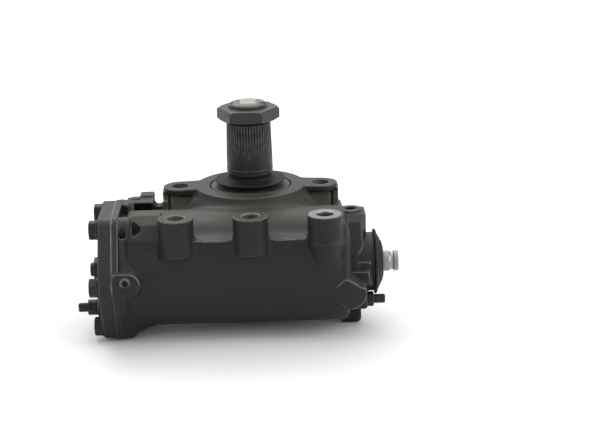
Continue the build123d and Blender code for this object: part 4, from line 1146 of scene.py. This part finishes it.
# (radius, points) of the painted highlight lines along edges that catch the light
EDGE_HIGHLIGHT_LINES = [
    (0.45, [(-64.5, -70, -25.6), (-54, -70, -26), (-41, -70, -26.6), (-24, -70, -27)]),
    (0.45, [(24, -70, -27), (40, -70, -27), (57, -70, -26.8)]),
    (0.60, [(-143.2, -47, -4.8), (-143.2, -54.4, -10.4), (-143.2, -80.5, -55.5)]),
    (0.60, [(-143.5, -88.3, -53.2), (-137.6, -88, -53.0), (-129.5, -88, -53.6), (-122.6, -87.6, -59.4), (-119.3, -86.8, -67.5)]),
    (0.42, [(113.5, -46, -62.6), (129.5, -46, -62.6)]),
    (0.42, [(108, -52.4, -71.6), (126.5, -52.4, -71.6), (127.8, -52.3, -76), (127.8, -52.3, -85)]),
    (0.35, [(116.7, -44, -57), (122.6, -42, -45)]),
    (0.48, [(90, -74, -81.8), (98.4, -75, -73), (102.5, -75.2, -72.2), (107.3, -75.2, -75.2), (111.6, -75.2, -77.2), (116.9, -75, -81.6), (122, -74.6, -82.9)]),
    (0.42, [(122.4, -74.6, -93), (119.4, -74.8, -99.2), (112.3, -75.2, -104.8), (105.7, -75.3, -106.2)]),
]


def make_edge_highlight_lines(host):
    """Painted highlights: thin lines of light paint laid on the casting's edges where they catch the light, on the
    housing's own surface.
    """
    host.data.update()
    out = []
    for rad, pts in EDGE_HIGHLIGHT_LINES:
        p = []
        for a, b in zip(pts[:-1], pts[1:]):
            a, b = np.array(a, float), np.array(b, float)
            count = max(1, int(np.linalg.norm(b - a) / 1.3))
            p += [a + (b - a) * t / count for t in range(count)]
        p.append(np.array(pts[-1], float))
        q, nrm = [], []
        for v in p:
            hit, co, normal, _ = host.closest_point_on_mesh(Vector(v * MM))
            q.append(np.array(co) / MM)
            nrm.append(np.array(normal))
        q, nrm = np.array(q), np.array(nrm)
        for k in range(2):
            q[1:-1] = (q[:-2] + 2 * q[1:-1] + q[2:]) / 4
            nrm[1:-1] = (nrm[:-2] + 2 * nrm[1:-1] + nrm[2:]) / 4
        t = np.gradient(q, axis=0)
        t /= np.maximum(np.linalg.norm(t, axis=1), 1e-6)[:, None]
        nrm -= (nrm * t).sum(1)[:, None] * t
        nrm /= np.maximum(np.linalg.norm(nrm, axis=1), 1e-6)[:, None]
        side_ = np.cross(t, nrm)
        n, m = len(q), 6
        taper = np.clip(np.minimum(np.arange(n), n - 1 - np.arange(n)) / 2.5, 0.12, 1.0) * rad
        v = np.zeros((n, m, 3))
        for j in range(m):
            a = 2 * math.pi * j / m
            v[:, j] = q + (nrm * math.sin(a) + side_ * math.cos(a)) * taper[:, None]
        i, j = np.meshgrid(np.arange(n - 1), np.arange(m), indexing="ij")
        j2 = (j + 1) % m
        f = np.stack([i * m + j, i * m + j2, (i + 1) * m + j2, (i + 1) * m + j], -1).reshape(-1, 4)
        e = (n - 1) * m
        caps = np.array([[3, 2, 1, 0], [5, 4, 3, 0], [e, e + 1, e + 2, e + 3], [e, e + 3, e + 4, e + 5]])
        out.append((v.reshape(-1, 3) * MM, np.concatenate([f, caps]), np.zeros(n * m)))
    return join("edge_highlight_lines", out)


def make_clip_ring():
    """Small steel ring in the mouth of the input shaft's rubber boot."""
    f = Field((142, YP - 18, ZP - 18), (147, YP + 18, ZP + 18), 0.4)
    f.add(cyl("x", 15.2, 143.6, 145.6, YP, ZP, 0.8))
    f.cut(cyl("x", 11.9, 130, 160, YP, ZP, 0), 0.6)
    f.cut(box(140, 150, YP - 1.5, YP + 1.5, ZP + 8, ZP + 20, 0), 0.3)
    return f.mesh("boot_clip_ring")


def make_hole_threads():
    """Screw thread inside the five mounting holes."""
    out = []
    for x, y in [(-80, -64), (0, -64), (80, -64), (-80, 64), (80, 64)]:
        n, rows, pitch = 40, 58, 1.8
        z = np.linspace(-28.5, -1.6, rows)
        a = np.arange(n) * 2 * math.pi / n
        w = np.abs(((z[:, None] / pitch - a[None, :] / (2 * math.pi)) % 1.0) - 0.5) * 2
        fade = np.clip((-1.6 - z[:, None]) / 1.5, 0, 1)
        inner = 9.3 - 0.75 * w * fade
        outer = np.full((rows, n), 9.75)
        v = []
        for rad in (inner, outer):
            v.append(np.stack([x + rad * np.cos(a)[None, :], y + rad * np.sin(a)[None, :], np.repeat(z[:, None], n, 1)], -1).reshape(-1, 3))
        i, j = np.meshgrid(np.arange(rows - 1), np.arange(n), indexing="ij")
        j2 = (j + 1) % n
        q1 = np.stack([i * n + j, (i + 1) * n + j, (i + 1) * n + j2, i * n + j2], -1).reshape(-1, 4)
        q2 = q1[:, ::-1] + rows * n
        k = np.arange(n)
        k2 = (k + 1) % n
        lowr = np.stack([k, k2, rows * n + k2, rows * n + k], -1)
        top = (rows - 1) * n
        high = np.stack([top + k2, top + k, rows * n + top + k, rows * n + top + k2], -1)
        out.append((np.concatenate(v) * MM, np.concatenate([q1, q2, lowr, high]), np.zeros(2 * rows * n)))
    return join("mounting_hole_threads", out)


scene_ = bpy.context.scene
threads = make_hole_threads()
threads.data.materials.append(M_THREAD)
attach(threads, "gear_housing")
ring = make_clip_ring()
ring.data.materials.append(M_BEARING)
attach(ring, "input")
piece(make_nut(), "pitman_nut", "sector", M_NUT, "painted_steel")
piece(make_shaft(), "sector_shaft", "sector", M_SMOOTH, "painted_steel")
piece(lower_shaft(), "sector_shaft", "sector", M_GROUND, "painted_steel")
piece(make_dust_cap(), "sector_dust_cap", "sector", M_RUBBER, "black_rubber")
piece(make_input_cover(), "input_dust_cover", "input", M_RUBBER, "black_rubber")
piece(make_input_shaft(), "input_shaft", "input", M_BRIGHT, "bright_steel")
piece(make_cover_bolts(), "cylinder_cover_bolts", "gear_housing", M_FAST, "painted_fasteners")
piece(make_plug(), "cover_plug", "gear_housing", M_FAST, "painted_fasteners")
for o, node in zip(make_limit_screws(), ("limit_screw_left", "limit_screw_right", "limit_nut_left", "limit_nut_right")):
    piece(o, node, "gear_housing", M_FAST, "painted_fasteners")
bead = make_joint_bead()
bead.data.materials.append(M_BEAD)
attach(bead, "gear_housing")
# painted highlights: thin tubes of light paint along the casting's edges
lines = make_edge_highlight_lines(housing)
lines.data.materials.append(M_EDGE_HIGHLIGHT)
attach(lines, "gear_housing")

# ============================================== camera, light, floor, closing
scene = bpy.context.scene
cam = bpy.data.cameras.new("camera")
cam.lens = 98.155
cam.sensor_width = 36.0
cam.clip_end = 20.0
cam_o = bpy.data.objects.new("camera", cam)
scene.collection.objects.link(cam_o)
yaw, el, roll = math.radians(1.061), math.radians(17.027), math.radians(1.411)
fwd = Vector((math.sin(yaw) * math.cos(el), math.cos(yaw) * math.cos(el), -math.sin(el)))
right = Vector((math.cos(yaw), -math.sin(yaw), 0))
up = right.cross(fwd)
r = right * math.cos(roll) - up * math.sin(roll)
u = right * math.sin(roll) + up * math.cos(roll)
m = Matrix((r, u, -fwd)).transposed().to_4x4()
m.translation = Vector((0.02211, -1.73757, 0.50265))
cam_o.matrix_world = m
scene.camera = cam_o

floor_me = bpy.data.meshes.new("floor")
bm = bmesh.new()
bmesh.ops.create_grid(bm, x_segments=24, y_segments=24, size=6.0)
bm.to_mesh(floor_me)
bm.free()
floor = bpy.data.objects.new("floor", floor_me)
floor.location = (0, 0, FLOOR_Z * MM)
scene.collection.objects.link(floor)
floor.data.materials.append(pale_floor("pale_floor"))

world = bpy.data.worlds.new("studio")
world.use_nodes = True
world.node_tree.nodes["Background"].inputs[0].default_value = (1, 1, 1, 1)
world.node_tree.nodes["Background"].inputs[1].default_value = 0.74
scene.world = world


def softbox(name, at, aim, w, h, power, colour=(1, 1, 1)):
    l = bpy.data.lights.new(name, "AREA")
    l.shape = "RECTANGLE"
    l.size, l.size_y = w, h
    l.energy = power
    l.color = colour
    o = bpy.data.objects.new(name, l)
    scene.collection.objects.link(o)
    o.location = at
    o.rotation_euler = (Vector(aim) - Vector(at)).to_track_quat("-Z", "Y").to_euler()
    return o


softbox("top_box", (0.0, 0.9, 2.6), (0, 0.9, -0.15), 4.4, 4.4, 48, (1.0, 0.995, 0.985))
softbox("back_box", (-0.5, 1.7, 1.9), (0, 0.2, -0.1), 2.0, 1.4, 26, (1.0, 1.0, 1.0))
softbox("right_box", (1.7, -0.5, 0.7), (0, 0, -0.05), 0.6, 1.4, 11, (1, 1, 1))
softbox("left_box", (-1.8, -0.6, 0.6), (0, 0, -0.05), 0.7, 1.4, 3, (0.97, 0.98, 1.0))
scene.view_settings.view_transform = "Standard"
scene.view_settings.look = "None"
